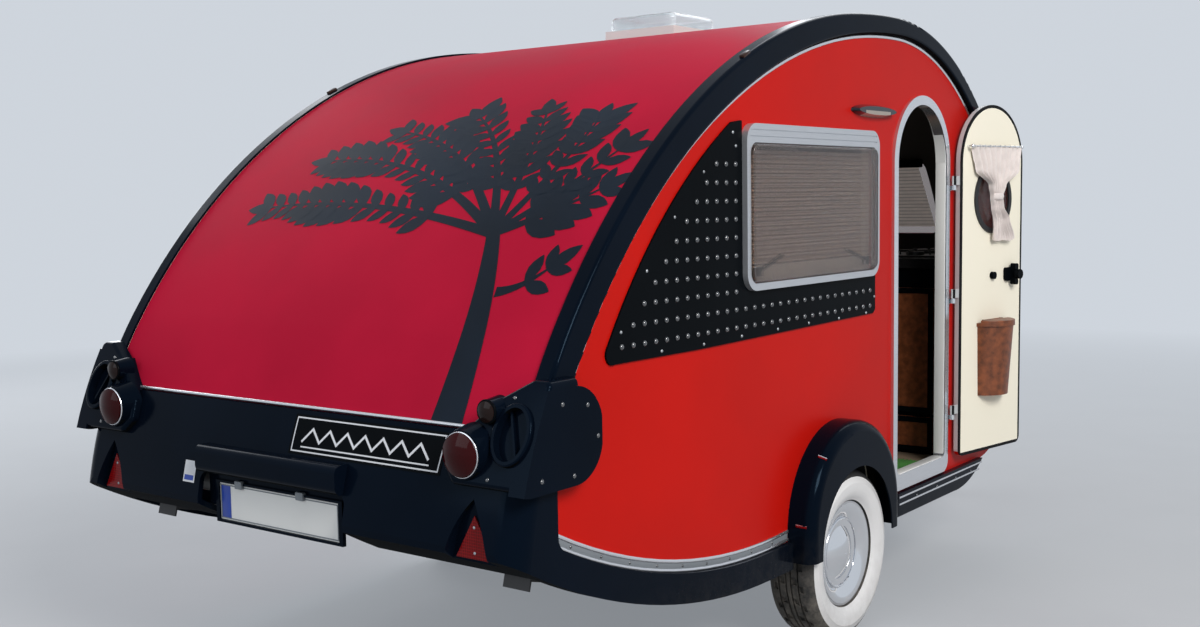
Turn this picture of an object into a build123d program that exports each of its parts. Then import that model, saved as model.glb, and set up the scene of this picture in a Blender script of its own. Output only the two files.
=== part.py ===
from build123d import *
import os
from math import sqrt

# A teardrop trailer. Sizes are in millimetres and are written from the axle: x runs forward,
# y to the left and z up from the ground. save() moves each piece so that the origin is the centre
# of the ball socket. The door and the side that is seen are on the right, at negative y.

# Place of the ball socket
BALL_AHEAD = 2850
BALL_HEIGHT = 420

# Gaps between pieces that are screwed or glued together, and round pieces that turn
SEAT = 0.3
RUNNING = 0.05

# Side outline of the body, from the crown of the roof: radius and turn in degrees of each arc
CROWN_X = 465
CROWN_Z = 2167
REAR_ARCS = ((3600, 6.0), (2195, 50.5), (1385, 23.0))
FRONT_ARCS = ((1190, 40.0), (1400, 50.0))
EDGE_PROUD = 8
SHELL = 30

# Inner line of the black edge moulding on the side wall, built the same way
BEAD_CROWN_X = CROWN_X + 15
BEAD_CROWN_Z = CROWN_Z - 66
BEAD_REAR_ARCS = ((2665, 7.2), (2380, 23.7), (2010, 32.0))
BEAD_FRONT_ARCS = ((1100, 40.0), (1400, 50.0))
BEAD_BOTTOM = 450

# Body across, floor and the upswept tail
WALL_FACE = 905
EDGE_FACE = 927
WALL_BOTTOM = 402
FLOOR = 40
SWEEP_X = -489
SWEEP_RADIUS = 2370
TAIL_ROUND = 160
SKIN_REAR_END = 950
SKIN_FRONT_END = 560

# Wheels: a 185/70 R13 tyre on a 5 inch rim
HUB_HEIGHT = 295
TYRE_RADIUS = 295
TYRE_WIDTH = 185
WHEEL_FACE = 975
RIM_SEAT = 165
RIM_FLANGE = 181
HUB_BORE = 15

# Wing over each wheel
WING_HALF = 335
WING_SPRING = 427
WING_FACE = 1000
WING_BOTTOM = 334
WING_WALL = 5
WING_OPENING = 265
WING_OPENING_Z = 340
WING_ROUND = 38
ARCH_HALF = 320
WHEEL_BOX_SIDE = 760

# Side window
WINDOW_X = (-617, 299)
WINDOW_Z = (1243, 1754)
WINDOW_LIP = 22
WINDOW_RAIL = 58
WINDOW_CORNER = 55
WINDOW_DEPTH = 24
AWNING_LAMP = (284, 1825)
PANE = 6
PANE_PROUD = 10
RAIL_GROOVES = (16, 36)

# Front window in the nose
NOSE_WINDOW_HALF = 640
NOSE_WINDOW_Z = (1330, 1700)

# Roof hatch
HATCH_X = 300
HATCH_HALF = 160
HATCH_CLEAR = 130
HATCH_Z = CROWN_Z + 12
HATCH_TOP = CROWN_Z + 66
HATCH_WALL = 4
HATCH_PIN = 4
HATCH_PIN_X = HATCH_X + HATCH_HALF + 8
HATCH_PIN_Z = HATCH_Z + 8
HATCH_KNUCKLE_Y = 95

# Door
DOOR_X = (449, 964)
DOOR_Z = (417, 1900)
DOOR_LIP = 35
DOOR_SILL = 60
DOOR_FRAME_PROUD = 12
LEAF_THICK = 28
LEAF_OVERLAP = 12
LEAF_RISE = 20
LEAF_GAP = 1
HINGE_X = 978
HINGE_Y = -927
HINGE_Z = (640, 1110, 1560)
HINGE_OPEN = 170
PIN = 5
PORTHOLE_Z = 1503
PORTHOLE = 125
PORTHOLE_RING = 14
ROD = 4
ROD_HALF = 195
ROD_Z = 1716
LATCH_Z = 1190
LATCH_IN = 93
BIN_HALF = 105
BIN_DEPTH = 88
BIN_TAPER = 24
BIN_WALL = 4
BIN_RIM = 5
BIN_Z = (700, 1000)
LID = 10
LID_PIN = 3
LID_HINGE = 9

# Lower edge: skirt, bumper and lamp housings
SKIRT_DEPTH = 89
FRONT_SKIRT_BOTTOM = 323
BUMPER_PROUD = 8
BUMPER_WALL = 16
BUMPER_TOP = SKIN_REAR_END - SEAT
BUMPER_SIDE_X = -1552
BUMPER_CORNER = 70
NOTCH_Y = 775
NOTCH_HALF = 86
NOTCH_TOP = 790
NOTCH_IN = 29
NOTCH_WALL = 6
POD_LOW = 1040
POD_FACE = 957
POD_PROUD = 34
POD_CHEEK_X = -1500
POD_FRONT = -1397
RING = (880, 956)
RING_HALF = (63, 82)
RING_WALL = 13
RING_PROUD = 12
RING_DEEP = 12

# Lamps on each housing: y, z, distance of the rim behind the tail, radius of the lens, length of its cone
POD_LAMPS = (
    (752, 903, 64, 56, 60),
    (801, 1010, 61, 27, 50),
)
LENS_RIM = 8
PLATE = (520, 110)
PLATE_Z = 656
PLATE_IN = 36
CARRIER_HALF = 314.5
RIM_OUT = 276
HANDLE_Z = (745, 827)
HANDLE_PROUD = 47

# Chassis
RAIL_HALF_GAP = 480
RAIL_WIDTH = 40
RAIL_HEIGHT = 70
RAIL_REAR = -1150
RAIL_TAPER = -520
RAIL_BEND = 260
DRAWBAR_TIP = BALL_AHEAD - 290
DRAWBAR_TIP_HALF = 62
COUPLING_FOOT = 12
AXLE_X = 150
AXLE_Z = 289
AXLE_RADIUS = 36

# Jockey wheel
JOCKEY_X = DRAWBAR_TIP - 230
JOCKEY_Y = -190
JOCKEY_TUBE = 24
JOCKEY_TUBE_Z = (325, 760)
JOCKEY_STEM = 20
JOCKEY_STEM_TOP = 660
JOCKEY_SPIGOT = 34
JOCKEY_WHEEL = 100
JOCKEY_WHEEL_HALF = 25

# Corner steadies: x and y of the pivot, way the leg points, its length and its upward tilt in degrees
STEADIES = {
    "steady_front_right": (640, -600, 1, 335, 0),
    "steady_front_left": (640, 600, 1, 335, 0),
    "steady_rear_right": (-1110, -760, -1, 425, 15),
    "steady_rear_left": (-1110, 760, -1, 425, 15),
}
STEADY_DROP = 45
STEADY_PIN = 8

# Kitchen and seats
KITCHEN_X = 1100
WORKTOP_Z = 1262
SEAT_FRONT_X = 400
SEAT_TOP_Z = 775
CUSHION = 100
BOARD = 18

os.makedirs("parts", exist_ok=True)


def save(node, shape):
    """Write one piece, moved from the axle's frame to that of the ball socket."""
    placed = Pos(-BALL_AHEAD, 0, -BALL_HEIGHT) * shape
    solids = placed.solids()
    export_step(Compound(solids) if len(solids) > 1 else solids[0], f"parts/{node}.step")


def slab(face, y_from, y_to):
    """A face drawn as (x, z), made solid from y_from to y_to."""
    return extrude(Pos(0, y_from, 0) * (Plane.XZ * face), amount=y_to - y_from, dir=(0, 1, 0))


def across(face, x_from, x_to):
    """A face drawn as (y, z), made solid from x_from to x_to."""
    return extrude(Pos(x_from, 0, 0) * (Plane.YZ * face), amount=x_to - x_from, dir=(1, 0, 0))


def upward(face, z_from, z_to):
    """A face drawn as (x, y), made solid from z_from to z_to."""
    return extrude(Pos(0, 0, z_from) * face, amount=z_to - z_from)


def block(x, y, z):
    """A box between two limits in each direction."""
    size = [high - low for low, high in (x, y, z)]
    middle = [(high + low) / 2 for low, high in (x, y, z)]
    return Pos(*middle) * Box(*size)


def area(x, z):
    """A rectangle between two limits in each direction."""
    return Pos((x[0] + x[1]) / 2, (z[0] + z[1]) / 2) * Rectangle(x[1] - x[0], z[1] - z[0])


def other_side(shape):
    """The same piece on the other side of the trailer."""
    return mirror(shape, about=Plane.XZ)


def rod(start, end, radius):
    """A round bar between two points."""
    start = Vector(*start)
    end = Vector(*end)
    plane = Plane(origin=start, z_dir=end - start)
    return extrude(plane * Circle(radius), amount=(end - start).length)


def arc_run(start, heading, side, arcs):
    """Tangent arcs one after another, each given by radius and turn."""
    run = []
    for radius, turn in arcs:
        arc = JernArc(start, heading, radius, side * turn)
        start = arc @ 1
        heading = arc % 1
        run.append(arc)
    return run


def outline(crown, rear_arcs, front_arcs, inset, bottom):
    """Closed side outline, inset evenly from the arcs and flat at the bottom."""
    top = Vector(crown[0], crown[1] - inset)
    rear = arc_run(top, Vector(-1, 0), 1, [(r - inset, turn) for r, turn in rear_arcs])
    front = arc_run(top, Vector(1, 0), -1, [(r - inset, turn) for r, turn in front_arcs])
    nose = front[-1] @ 1
    chin = JernArc(nose, front[-1] % 1, nose.Y - bottom, -90)
    tail = rear[-1] @ 1
    corner = Vector(tail.X, bottom)
    return make_face([*rear, *front, chin, Line(chin @ 1, corner), Line(corner, tail)])


def behind_sweep(depth):
    """What lies behind the start of the tail's sweep and below its arc."""
    radius = SWEEP_RADIUS + depth
    centre_z = WALL_BOTTOM + SWEEP_RADIUS
    whole = area((SWEEP_X - radius, SWEEP_X), (-BALL_HEIGHT, centre_z))
    return whole - Pos(SWEEP_X, centre_z) * Circle(radius)


def body_section(inset, lift=0):
    """Side section of the body: inset from the moulding, with the floor lifted by lift."""
    face = outline((CROWN_X, CROWN_Z), REAR_ARCS, FRONT_ARCS, inset, WALL_BOTTOM + lift)
    face -= behind_sweep(-lift)
    tail = face.vertices().sort_by(Axis.X)[0:2].sort_by(Axis.Y)[0]
    return fillet(tail, TAIL_ROUND - lift)


def floor_under(x):
    """Height of the floor's underside."""
    behind = min(x - SWEEP_X, 0)
    return WALL_BOTTOM + SWEEP_RADIUS - sqrt(SWEEP_RADIUS ** 2 - behind ** 2)


def bead_section():
    """The part of the side wall that shows inside the edge moulding."""
    return outline((BEAD_CROWN_X, BEAD_CROWN_Z), BEAD_REAR_ARCS, BEAD_FRONT_ARCS, 0, BEAD_BOTTOM)


def tail_x(z):
    """Where the tail's outline stands at a height."""
    band = area((-3 * SWEEP_RADIUS, 0), (z - 1, z + 1))
    return (outline((CROWN_X, CROWN_Z), REAR_ARCS, FRONT_ARCS, 0, 0) & band).bounding_box().min.X


def arched(x, bottom, spring):
    """An upright shape with straight sides and a half-round top."""
    left, right = x
    half = (right - left) / 2
    return make_face([
        Line((left, bottom), (left, spring)),
        ThreePointArc((left, spring), (left + half, spring + half), (right, spring)),
        Line((right, spring), (right, bottom)),
        Line((right, bottom), (left, bottom)),
    ])


def arch(half, centre_z, bottom):
    """A half-round arch on straight legs, over the axle."""
    return arched((-half, half), bottom, centre_z)


def rounded(x, z, radius):
    """A rectangle with round corners."""
    return Pos((x[0] + x[1]) / 2, (z[0] + z[1]) / 2) * RectangleRounded(x[1] - x[0], z[1] - z[0], radius)


def grown(span, by):
    """A pair of limits moved outward by the same amount."""
    return (span[0] - by, span[1] + by)


def half_round(middle, back, half, depth):
    """A bow drawn as (x, y): flat along the back and round in front."""
    left = (middle - half, back)
    right = (middle + half, back)
    return make_face([Line(left, right), ThreePointArc(right, (middle, back + depth), left)])


def door_shape(x, z, corner):
    """An upright panel with a half-round top and rounded lower corners."""
    face = arched(x, z[0], z[1] - (x[1] - x[0]) / 2)
    return fillet(face.vertices().sort_by(Axis.Y)[0:2], corner)


SKIN = EDGE_PROUD
LINING = EDGE_PROUD + SHELL
CABIN_HALF = WALL_FACE - SHELL
FLOOR_TOP = WALL_BOTTOM + FLOOR

WINDOW_CLEAR_X = grown(WINDOW_X, -WINDOW_LIP)
WINDOW_CLEAR_Z = (WINDOW_Z[0] + WINDOW_LIP, WINDOW_Z[1] - WINDOW_RAIL)
DOOR_CLEAR_X = grown(DOOR_X, -DOOR_LIP)
DOOR_CLEAR_Z = (DOOR_Z[0] + DOOR_SILL, DOOR_Z[1] - DOOR_LIP)

PLATE_X = tail_x(PLATE_Z) + PLATE_IN
NOTCH_BACK = tail_x(PLATE_Z) + NOTCH_IN


def shell_pieces():
    """Red skin over the top, and the floor pan that closes the body below it."""
    section = body_section(SKIN) - body_section(LINING, FLOOR)
    span = 2 * SWEEP_RADIUS
    rear_low = area((-span, 0), (-span, SKIN_REAR_END))
    front_low = area((0, span), (-span, SKIN_FRONT_END))
    low = rear_low + front_low
    skin = slab(section - low, -CABIN_HALF + SEAT, CABIN_HALF - SEAT)
    pan = slab(section & low, -CABIN_HALF + SEAT, CABIN_HALF - SEAT)
    for side in (-1, 1):
        edge = (side * CABIN_HALF, side * WHEEL_BOX_SIDE)
        pan -= block((-ARCH_HALF, ARCH_HALF), (min(edge), max(edge)), (0, FLOOR_TOP + 1))
        corner = (side * CABIN_HALF, side * (CABIN_HALF - BUMPER_CORNER))
        pan -= block((-span, BUMPER_SIDE_X), (min(corner), max(corner)), (0, SKIN_REAR_END))
    pocket = across(offset(notch_face(), NOTCH_WALL + SEAT), -2000, NOTCH_BACK + NOTCH_WALL + SEAT)
    pan -= pocket
    pan -= other_side(pocket)
    return skin, pan


def nose_window():
    """Curved pane and frame let into the nose."""
    width = (-NOSE_WINDOW_HALF, NOSE_WINDOW_HALF)
    corner = WINDOW_CORNER - WINDOW_LIP / 2
    opening = rounded(width, NOSE_WINDOW_Z, WINDOW_CORNER)
    clear = rounded(grown(width, -WINDOW_LIP), grown(NOSE_WINDOW_Z, -WINDOW_LIP), corner)
    inside = rounded(grown(width, -WINDOW_LIP - SEAT), grown(NOSE_WINDOW_Z, -WINDOW_LIP - SEAT), corner - SEAT)
    reach = (CROWN_X + 400, CROWN_X + 1600)
    outer = slab(body_section(SKIN - 14) - body_section(SKIN - SEAT), -CABIN_HALF, CABIN_HALF)
    pane_band = slab(body_section(SKIN - 10) - body_section(SKIN - 10 + PANE), -CABIN_HALF, CABIN_HALF)
    hole = across(clear, *reach)
    frame = (outer & across(opening, *reach)) - hole
    return frame, pane_band & across(inside, *reach), hole


def side_wall():
    """Right side wall, with its window and wheel arch but without the doorway."""
    face = body_section(SKIN)
    face -= area((-3 * SWEEP_RADIUS, BUMPER_SIDE_X - 23), (0, SKIN_REAR_END))
    face -= arch(ARCH_HALF, WING_SPRING, 0)
    face -= rounded(WINDOW_CLEAR_X, WINDOW_CLEAR_Z, WINDOW_CORNER - WINDOW_LIP)
    return slab(face, -WALL_FACE, -CABIN_HALF)


def edge_moulding():
    """Black moulding along the edge of the right wall, round on its outer corner."""
    whole = outline((CROWN_X, CROWN_Z), REAR_ARCS, FRONT_ARCS, 0, WALL_BOTTOM)
    body = body_section(SKIN - SEAT)
    low = area((-3 * SWEEP_RADIUS, 0), (0, POD_LOW))
    low += area((0, 3 * SWEEP_RADIUS), (0, BEAD_BOTTOM))
    side = slab(whole - bead_section() - low, -EDGE_FACE, -WALL_FACE - SEAT)
    side = fillet(side.faces().sort_by(Axis.Y)[0].outer_wire().edges().filter_by(GeomType.CIRCLE), 12)
    lip = slab(whole - body - low, -WALL_FACE - SEAT, -CABIN_HALF)
    return side + lip


def wing():
    """Right wing: an open shell with a rounded outer edge and a cut-out over the tyre."""
    outer = slab(arch(WING_HALF, WING_SPRING, WING_BOTTOM), -WING_FACE, -WALL_FACE - SEAT)
    outer = fillet(outer.faces().sort_by(Axis.Y)[0].edges().sort_by(Axis.Z)[1:], WING_ROUND)
    inner = slab(arch(WING_HALF - WING_WALL, WING_SPRING, 0), -WING_FACE + WING_WALL, -WALL_FACE)
    inner = fillet(inner.faces().sort_by(Axis.Y)[0].edges().sort_by(Axis.Z)[1:], WING_ROUND - WING_WALL)
    opening = slab(arch(WING_OPENING, WING_OPENING_Z, 0), -WING_FACE - 1, -WING_FACE + WING_WALL + 1)
    return outer - inner - opening


def wheel_box():
    """Liner over the right wheel inside the cabin."""
    outside = slab(arch(ARCH_HALF - SEAT, WING_SPRING, WALL_BOTTOM), -CABIN_HALF, -WHEEL_BOX_SIDE)
    inside = slab(arch(ARCH_HALF - WING_WALL, WING_SPRING, 0), -WALL_FACE, -WHEEL_BOX_SIDE - WING_WALL)
    return outside - inside


def window_frame():
    """Frame of the right side window and the pane that sits in its groove."""
    ring = rounded(WINDOW_X, WINDOW_Z, WINDOW_CORNER)
    ring -= rounded(WINDOW_CLEAR_X, WINDOW_CLEAR_Z, WINDOW_CORNER - WINDOW_LIP)
    face_y = -WALL_FACE - WINDOW_DEPTH
    frame = slab(ring, face_y, -WALL_FACE - SEAT)
    groove_y = (face_y + 6, face_y + 6 + PANE)
    frame -= slab(window_field(8), *groove_y)
    for up in RAIL_GROOVES:
        line = WINDOW_CLEAR_Z[1] + up
        frame -= block(grown(WINDOW_X, -WINDOW_LIP), (face_y - 1, face_y + 3), (line, line + 4))
    rim = slab(window_field(8 - SEAT), *groove_y)
    dish = slab(window_field(-4), face_y - PANE_PROUD, groove_y[1])
    dish = fillet(dish.faces().sort_by(Axis.Y)[0].edges(), PANE_PROUD - 1)
    hollow = slab(window_field(-4 - PANE), face_y - PANE_PROUD + PANE, groove_y[1] + 1)
    return frame, rim + dish - hollow


def window_field(by):
    """The clear field of the side window, grown or shrunk evenly."""
    return rounded(grown(WINDOW_CLEAR_X, by), grown(WINDOW_CLEAR_Z, by), WINDOW_CORNER - WINDOW_LIP + by)


def stud_plate():
    """Black plate behind and below the right window, its rear edge curved like the body."""
    tail = ThreePointArc((-1312, 1136), (-999, 1515), (-678, 1754))
    heel = ThreePointArc((-1312, 1136), (-1313, 1105), (-1279, 1092))
    sides = Polyline((-678, 1754), (-628, 1761), (303, 1761), (303, 1120), (287, 1107), (-860, 1091),
                     (-1279, 1092))
    face = make_face([tail, heel, *sides.edges()])
    face -= rounded(grown(WINDOW_X, SEAT), (WINDOW_Z[0] - SEAT, WINDOW_Z[1] + 300), WINDOW_CORNER)
    face -= area((WINDOW_X[0], 2000), (WINDOW_Z[0] + WINDOW_CORNER, 3000))
    return slab(face, -WALL_FACE - 6, -WALL_FACE - SEAT)


def door_frame():
    """Aluminium frame: a flange on the wall and a lining through it."""
    outer = door_shape(DOOR_X, DOOR_Z, 45)
    clear = door_shape(DOOR_CLEAR_X, DOOR_CLEAR_Z, 25)
    lining = offset(clear, 4)
    flange = slab(outer - clear, -WALL_FACE - DOOR_FRAME_PROUD, -WALL_FACE - SEAT)
    tube = slab(lining - clear, -WALL_FACE - SEAT, -CABIN_HALF)
    return flange + tube, slab(offset(clear, 4 + SEAT), -WALL_FACE - 1, -CABIN_HALF + 1)


LEAF_X = grown(DOOR_CLEAR_X, LEAF_OVERLAP)
LEAF_Z = (DOOR_CLEAR_Z[0] - LEAF_OVERLAP, DOOR_CLEAR_Z[1] + LEAF_RISE)
LEAF_MIDDLE = (LEAF_X[0] + LEAF_X[1]) / 2
LEAF_INNER = -WALL_FACE - DOOR_FRAME_PROUD - LEAF_GAP
LEAF_OUTER = LEAF_INNER - LEAF_THICK


def opened(shape):
    """Swing a piece of the door from shut to where it stands open."""
    hinge = Pos(HINGE_X, HINGE_Y, 0)
    return hinge * (Rot(0, 0, HINGE_OPEN) * (hinge.inverse() * shape))


def door_pieces():
    """Everything that turns with the door, in the closed position."""
    window = Pos(LEAF_MIDDLE, PORTHOLE_Z)
    leaf = slab(door_shape(LEAF_X, LEAF_Z, 30), LEAF_OUTER, LEAF_INNER)
    leaf = fillet(leaf.faces().sort_by(Axis.Y)[0].outer_wire().edges(), 6)
    leaf -= slab(window * Circle(PORTHOLE), LEAF_OUTER - 1, LEAF_INNER + 1)
    for z in HINGE_Z:
        strap = block((LEAF_X[1] - 1, HINGE_X), (HINGE_Y - 3, HINGE_Y + 3), (z + 2, z + 38))
        knuckle = Pos(HINGE_X, HINGE_Y, z + 20) * Cylinder(9, 36)
        leaf += strap + knuckle
        leaf -= Pos(HINGE_X, HINGE_Y, z + 20) * Cylinder(PIN + RUNNING, 60)
    pane = slab(window * Circle(PORTHOLE - SEAT), LEAF_OUTER, LEAF_INNER)
    ring = window * (Circle(PORTHOLE + PORTHOLE_RING) - Circle(PORTHOLE - 6))
    ring = slab(ring, LEAF_INNER + SEAT, LEAF_INNER + 7)
    curtain_bar = door_curtain_rod()
    return {
        "door_leaf": leaf,
        "door_porthole_pane": pane,
        "door_porthole_ring": ring,
        "door_latch": door_latch(),
        "door_bin": door_bin(),
        "door_bin_lid": door_bin_lid(),
        "door_curtain_rod": curtain_bar,
        "door_curtain": door_curtain() - curtain_bar,
    }


def door_latch():
    """Inside latch near the free edge of the door, and the lock's small knob."""
    x = LEAF_X[0] + LATCH_IN
    plate = block((x - 50, x + 50), (LEAF_INNER + SEAT, LEAF_INNER + 12), (LATCH_Z - 28, LATCH_Z + 28))
    plate = fillet(plate.edges().filter_by(Axis.Y), 12)
    bar = block((x - 13, x + 13), (LEAF_INNER + 11, LEAF_INNER + 34), (LATCH_Z - 44, LATCH_Z + 44))
    bar = fillet(bar.edges().filter_by(Axis.Y), 8)
    knob = rod((x, LEAF_INNER + 33, LATCH_Z), (x, LEAF_INNER + 52, LATCH_Z), 20)
    lock = rod((LEAF_MIDDLE, LEAF_INNER + SEAT, LATCH_Z), (LEAF_MIDDLE, LEAF_INNER + 16, LATCH_Z), 15)
    return plate + bar + knob + lock


def bin_form(inset, low, high):
    """Tapered bow-fronted form of the bin on the door, inset by its wall."""
    back = LEAF_INNER + SEAT + inset
    sections = []
    for z, narrower in ((low, BIN_TAPER), (high, 0)):
        bow = half_round(LEAF_MIDDLE, back, BIN_HALF - inset - narrower / 3, BIN_DEPTH - 2 * inset - narrower)
        sections.append(Pos(0, 0, z) * bow)
    return loft(sections)


def door_bin():
    """Bin on the door, with a thicker rim and the ears and pin that its lid turns on."""
    top = BIN_Z[1]
    rim = half_round(LEAF_MIDDLE, LEAF_INNER + SEAT, BIN_HALF + BIN_RIM, BIN_DEPTH + BIN_RIM)
    bucket = bin_form(0, *BIN_Z) + upward(rim, top - 14, top)
    bucket -= bin_form(BIN_WALL, BIN_Z[0] + BIN_WALL, top + 1)
    pin_y = LEAF_INNER + LID_HINGE
    pin_z = top + SEAT + LID / 2 + 1
    for side in (-1, 1):
        x = LEAF_MIDDLE + side * 66
        bucket += block((x - 4, x + 4), (LEAF_INNER + SEAT, pin_y + 6), (top - 10, pin_z + 5))
    return bucket + rod((LEAF_MIDDLE - 66, pin_y, pin_z), (LEAF_MIDDLE + 66, pin_y, pin_z), LID_PIN)


def door_bin_lid():
    """Shut lid of the bin, with the barrel that turns on its pin."""
    top = BIN_Z[1] + SEAT
    pin_y = LEAF_INNER + LID_HINGE
    pin_z = top + LID / 2 + 1
    back = pin_y + 8
    rim = half_round(LEAF_MIDDLE, LEAF_INNER + SEAT, BIN_HALF + BIN_RIM, BIN_DEPTH + BIN_RIM)
    plate = upward(rim, top, top + LID)
    plate = fillet(plate.faces().sort_by(Axis.Z)[-1].edges(), 4)
    plate &= block(LEAF_X, (back, 0), (top, top + LID))
    plate += block((LEAF_MIDDLE - 60, LEAF_MIDDLE + 60), (pin_y, back + 1), (top + 1, top + LID - 1))
    plate += rod((LEAF_MIDDLE - 60, pin_y, pin_z), (LEAF_MIDDLE + 60, pin_y, pin_z), LID / 2 + 0.5)
    return plate - rod((LEAF_MIDDLE - 61, pin_y, pin_z), (LEAF_MIDDLE + 61, pin_y, pin_z), LID_PIN + RUNNING)


def door_curtain_rod():
    """Rod of the door's curtain, held by two short arms."""
    ends = grown((LEAF_MIDDLE, LEAF_MIDDLE), ROD_HALF)
    bar = rod((ends[0], LEAF_INNER + 22, ROD_Z), (ends[1], LEAF_INNER + 22, ROD_Z), ROD)
    for x in grown(ends, -6):
        bar += rod((x, LEAF_INNER + SEAT, ROD_Z), (x, LEAF_INNER + 22, ROD_Z), ROD + 1)
        bar += Pos(x, LEAF_INNER + 22, ROD_Z) * Sphere(ROD + 4)
    return bar


def door_curtain():
    """Curtain tied in at its middle and hanging to one side below the tie."""
    top = ROD_Z - ROD - SEAT
    tie = ROD_Z - 202
    hem = ROD_Z - 380
    edge = [(-175, top), (175, top), (42, tie + 24), (42, tie - 24), (27, hem), (-125, hem),
            (-42, tie - 24), (-42, tie + 24)]
    face = make_face(Polyline([(LEAF_MIDDLE + x, z) for x, z in edge], close=True))
    return slab(face, LEAF_INNER + 12, LEAF_INNER + 32)


def hinge_posts():
    """Fixed hinge leaves on the wall, each with the pin that the door turns on."""
    posts = Part()
    for z in HINGE_Z:
        foot = block((HINGE_X - 12, HINGE_X + 14), (-WALL_FACE - 5, -WALL_FACE - SEAT), (z - 20, z))
        arm = block((HINGE_X - 4, HINGE_X + 4), (HINGE_Y, -WALL_FACE - SEAT), (z - 18, z))
        pin = Pos(HINGE_X, HINGE_Y, z + 10) * Cylinder(PIN, 56)
        collar = Pos(HINGE_X, HINGE_Y, z - 9) * Cylinder(9, 18)
        posts += foot + arm + pin + collar
    return posts


def skirts():
    """Right front skirt below the wall, from the wing to the chin."""
    top = WALL_BOTTOM - SEAT
    front = WING_HALF + SEAT + 140
    tip_x = 1314
    edge = Polyline((front, top + 8), (front - 10, FRONT_SKIRT_BOTTOM), (1000, FRONT_SKIRT_BOTTOM))
    rise = ThreePointArc((1000, FRONT_SKIRT_BOTTOM), (1170, FRONT_SKIRT_BOTTOM + 19), (tip_x, top + 8))
    lid = Line((tip_x, top + 8), (front, top + 8))
    strip = slab(make_face([*edge.edges(), rise, lid]), -EDGE_FACE, -WALL_FACE - SEAT)
    return strip + block((front, 1240), (-WALL_FACE - SEAT, -CABIN_HALF), (top - 20, top))


def bumper_section(inset):
    """Side section of the rear moulding, from its top down to the swept-up lower edge."""
    face = outline((CROWN_X, CROWN_Z), REAR_ARCS, FRONT_ARCS, inset - BUMPER_PROUD, 0)
    face -= behind_sweep(SKIRT_DEPTH - inset)
    face -= area((SWEEP_X - 1, 3 * SWEEP_RADIUS), (-1, WALL_BOTTOM - SKIRT_DEPTH + inset))
    face -= area((-3 * SWEEP_RADIUS, 3 * SWEEP_RADIUS), (BUMPER_TOP, 3000))
    return face & area((-3 * SWEEP_RADIUS, -WING_HALF), (0, BUMPER_TOP))


def rounded_tail(face, half, corner):
    """A side section made solid across the trailer, with its two rear corners rounded."""
    solid = slab(face, -half, half)
    ends = solid.edges().filter_by(GeomType.CIRCLE)
    tail = [edge for edge in ends if edge.center().Z > WALL_BOTTOM + 250 and edge.center().X < BUMPER_SIDE_X]
    return fillet(tail, corner)


def rear_bumper():
    """Moulding round the tail: apron, swept side skirts, plate recess and reflector notches."""
    section = bumper_section(0)
    flat = section - behind_sweep(SKIRT_DEPTH)
    solid = rounded_tail(flat, EDGE_FACE, BUMPER_CORNER)
    inner = rounded_tail(bumper_section(BUMPER_WALL), WALL_FACE + SEAT, BUMPER_CORNER - BUMPER_WALL)
    inner_top = slab(bumper_section(BUMPER_WALL), -CABIN_HALF + 10, CABIN_HALF - 10)
    wall_view = body_section(SKIN) & area((BUMPER_SIDE_X, 0), (0, SKIN_REAR_END + 1))
    corner = wall_view.vertices().sort_by(Axis.X)[0:2].sort_by(Axis.Y)[0:1]
    wall_view = fillet(corner, 45)
    moulding = solid - inner - inner_top
    moulding -= slab(wall_view, -EDGE_FACE - 1, EDGE_FACE + 1)
    moulding -= block((BUMPER_SIDE_X - 40, 0), (-CABIN_HALF, CABIN_HALF), (0, BUMPER_TOP))
    recess = rounded((-315, 315), (560, 745), 30)
    moulding -= across(recess, -2000, -1500)
    whole = solid & block((-2000, 0), (0, EDGE_FACE), (0, BUMPER_TOP))
    pocket = across(offset(notch_face(), NOTCH_WALL), -2000, NOTCH_BACK + NOTCH_WALL) & whole
    cut = across(notch_face(), -2000, NOTCH_BACK)
    moulding += pocket + other_side(pocket)
    return moulding - cut - other_side(cut)


def notch_face():
    """Arched notch over the left reflector, drawn as (y, z)."""
    left = ThreePointArc((NOTCH_Y - NOTCH_HALF, 560), (NOTCH_Y - 55, 715), (NOTCH_Y, NOTCH_TOP))
    right = ThreePointArc((NOTCH_Y, NOTCH_TOP), (NOTCH_Y + 40, 715), (NOTCH_Y + NOTCH_HALF, 560))
    return make_face([left, right, Line((NOTCH_Y + NOTCH_HALF, 560), (NOTCH_Y - NOTCH_HALF, 560))])


def plate_carrier():
    """Pan behind the number plate, with the handle moulding above it."""
    pan = block((PLATE_X + 2, PLATE_X + 6), grown((0, 0), CARRIER_HALF), (640, HANDLE_Z[0] - 0.5))
    pan += block((PLATE_X + 2, PLATE_X + 6), grown((0, 0), RIM_OUT), (592, 640))
    rim = block((PLATE_X - 6, PLATE_X + 2), grown((0, 0), RIM_OUT), (592, 719))
    rim -= block((PLATE_X - 7, PLATE_X + 3), grown((0, 0), PLATE[0] / 2 + 1), (600, 712))
    handle_x = tail_x(sum(HANDLE_Z) / 2) - HANDLE_PROUD
    handle = slab(rounded((handle_x, handle_x + 98), HANDLE_Z, 22), -305, 305)
    handle -= rounded_tail(bumper_section(-SEAT), EDGE_FACE, BUMPER_CORNER)
    return pan + rim, handle


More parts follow.
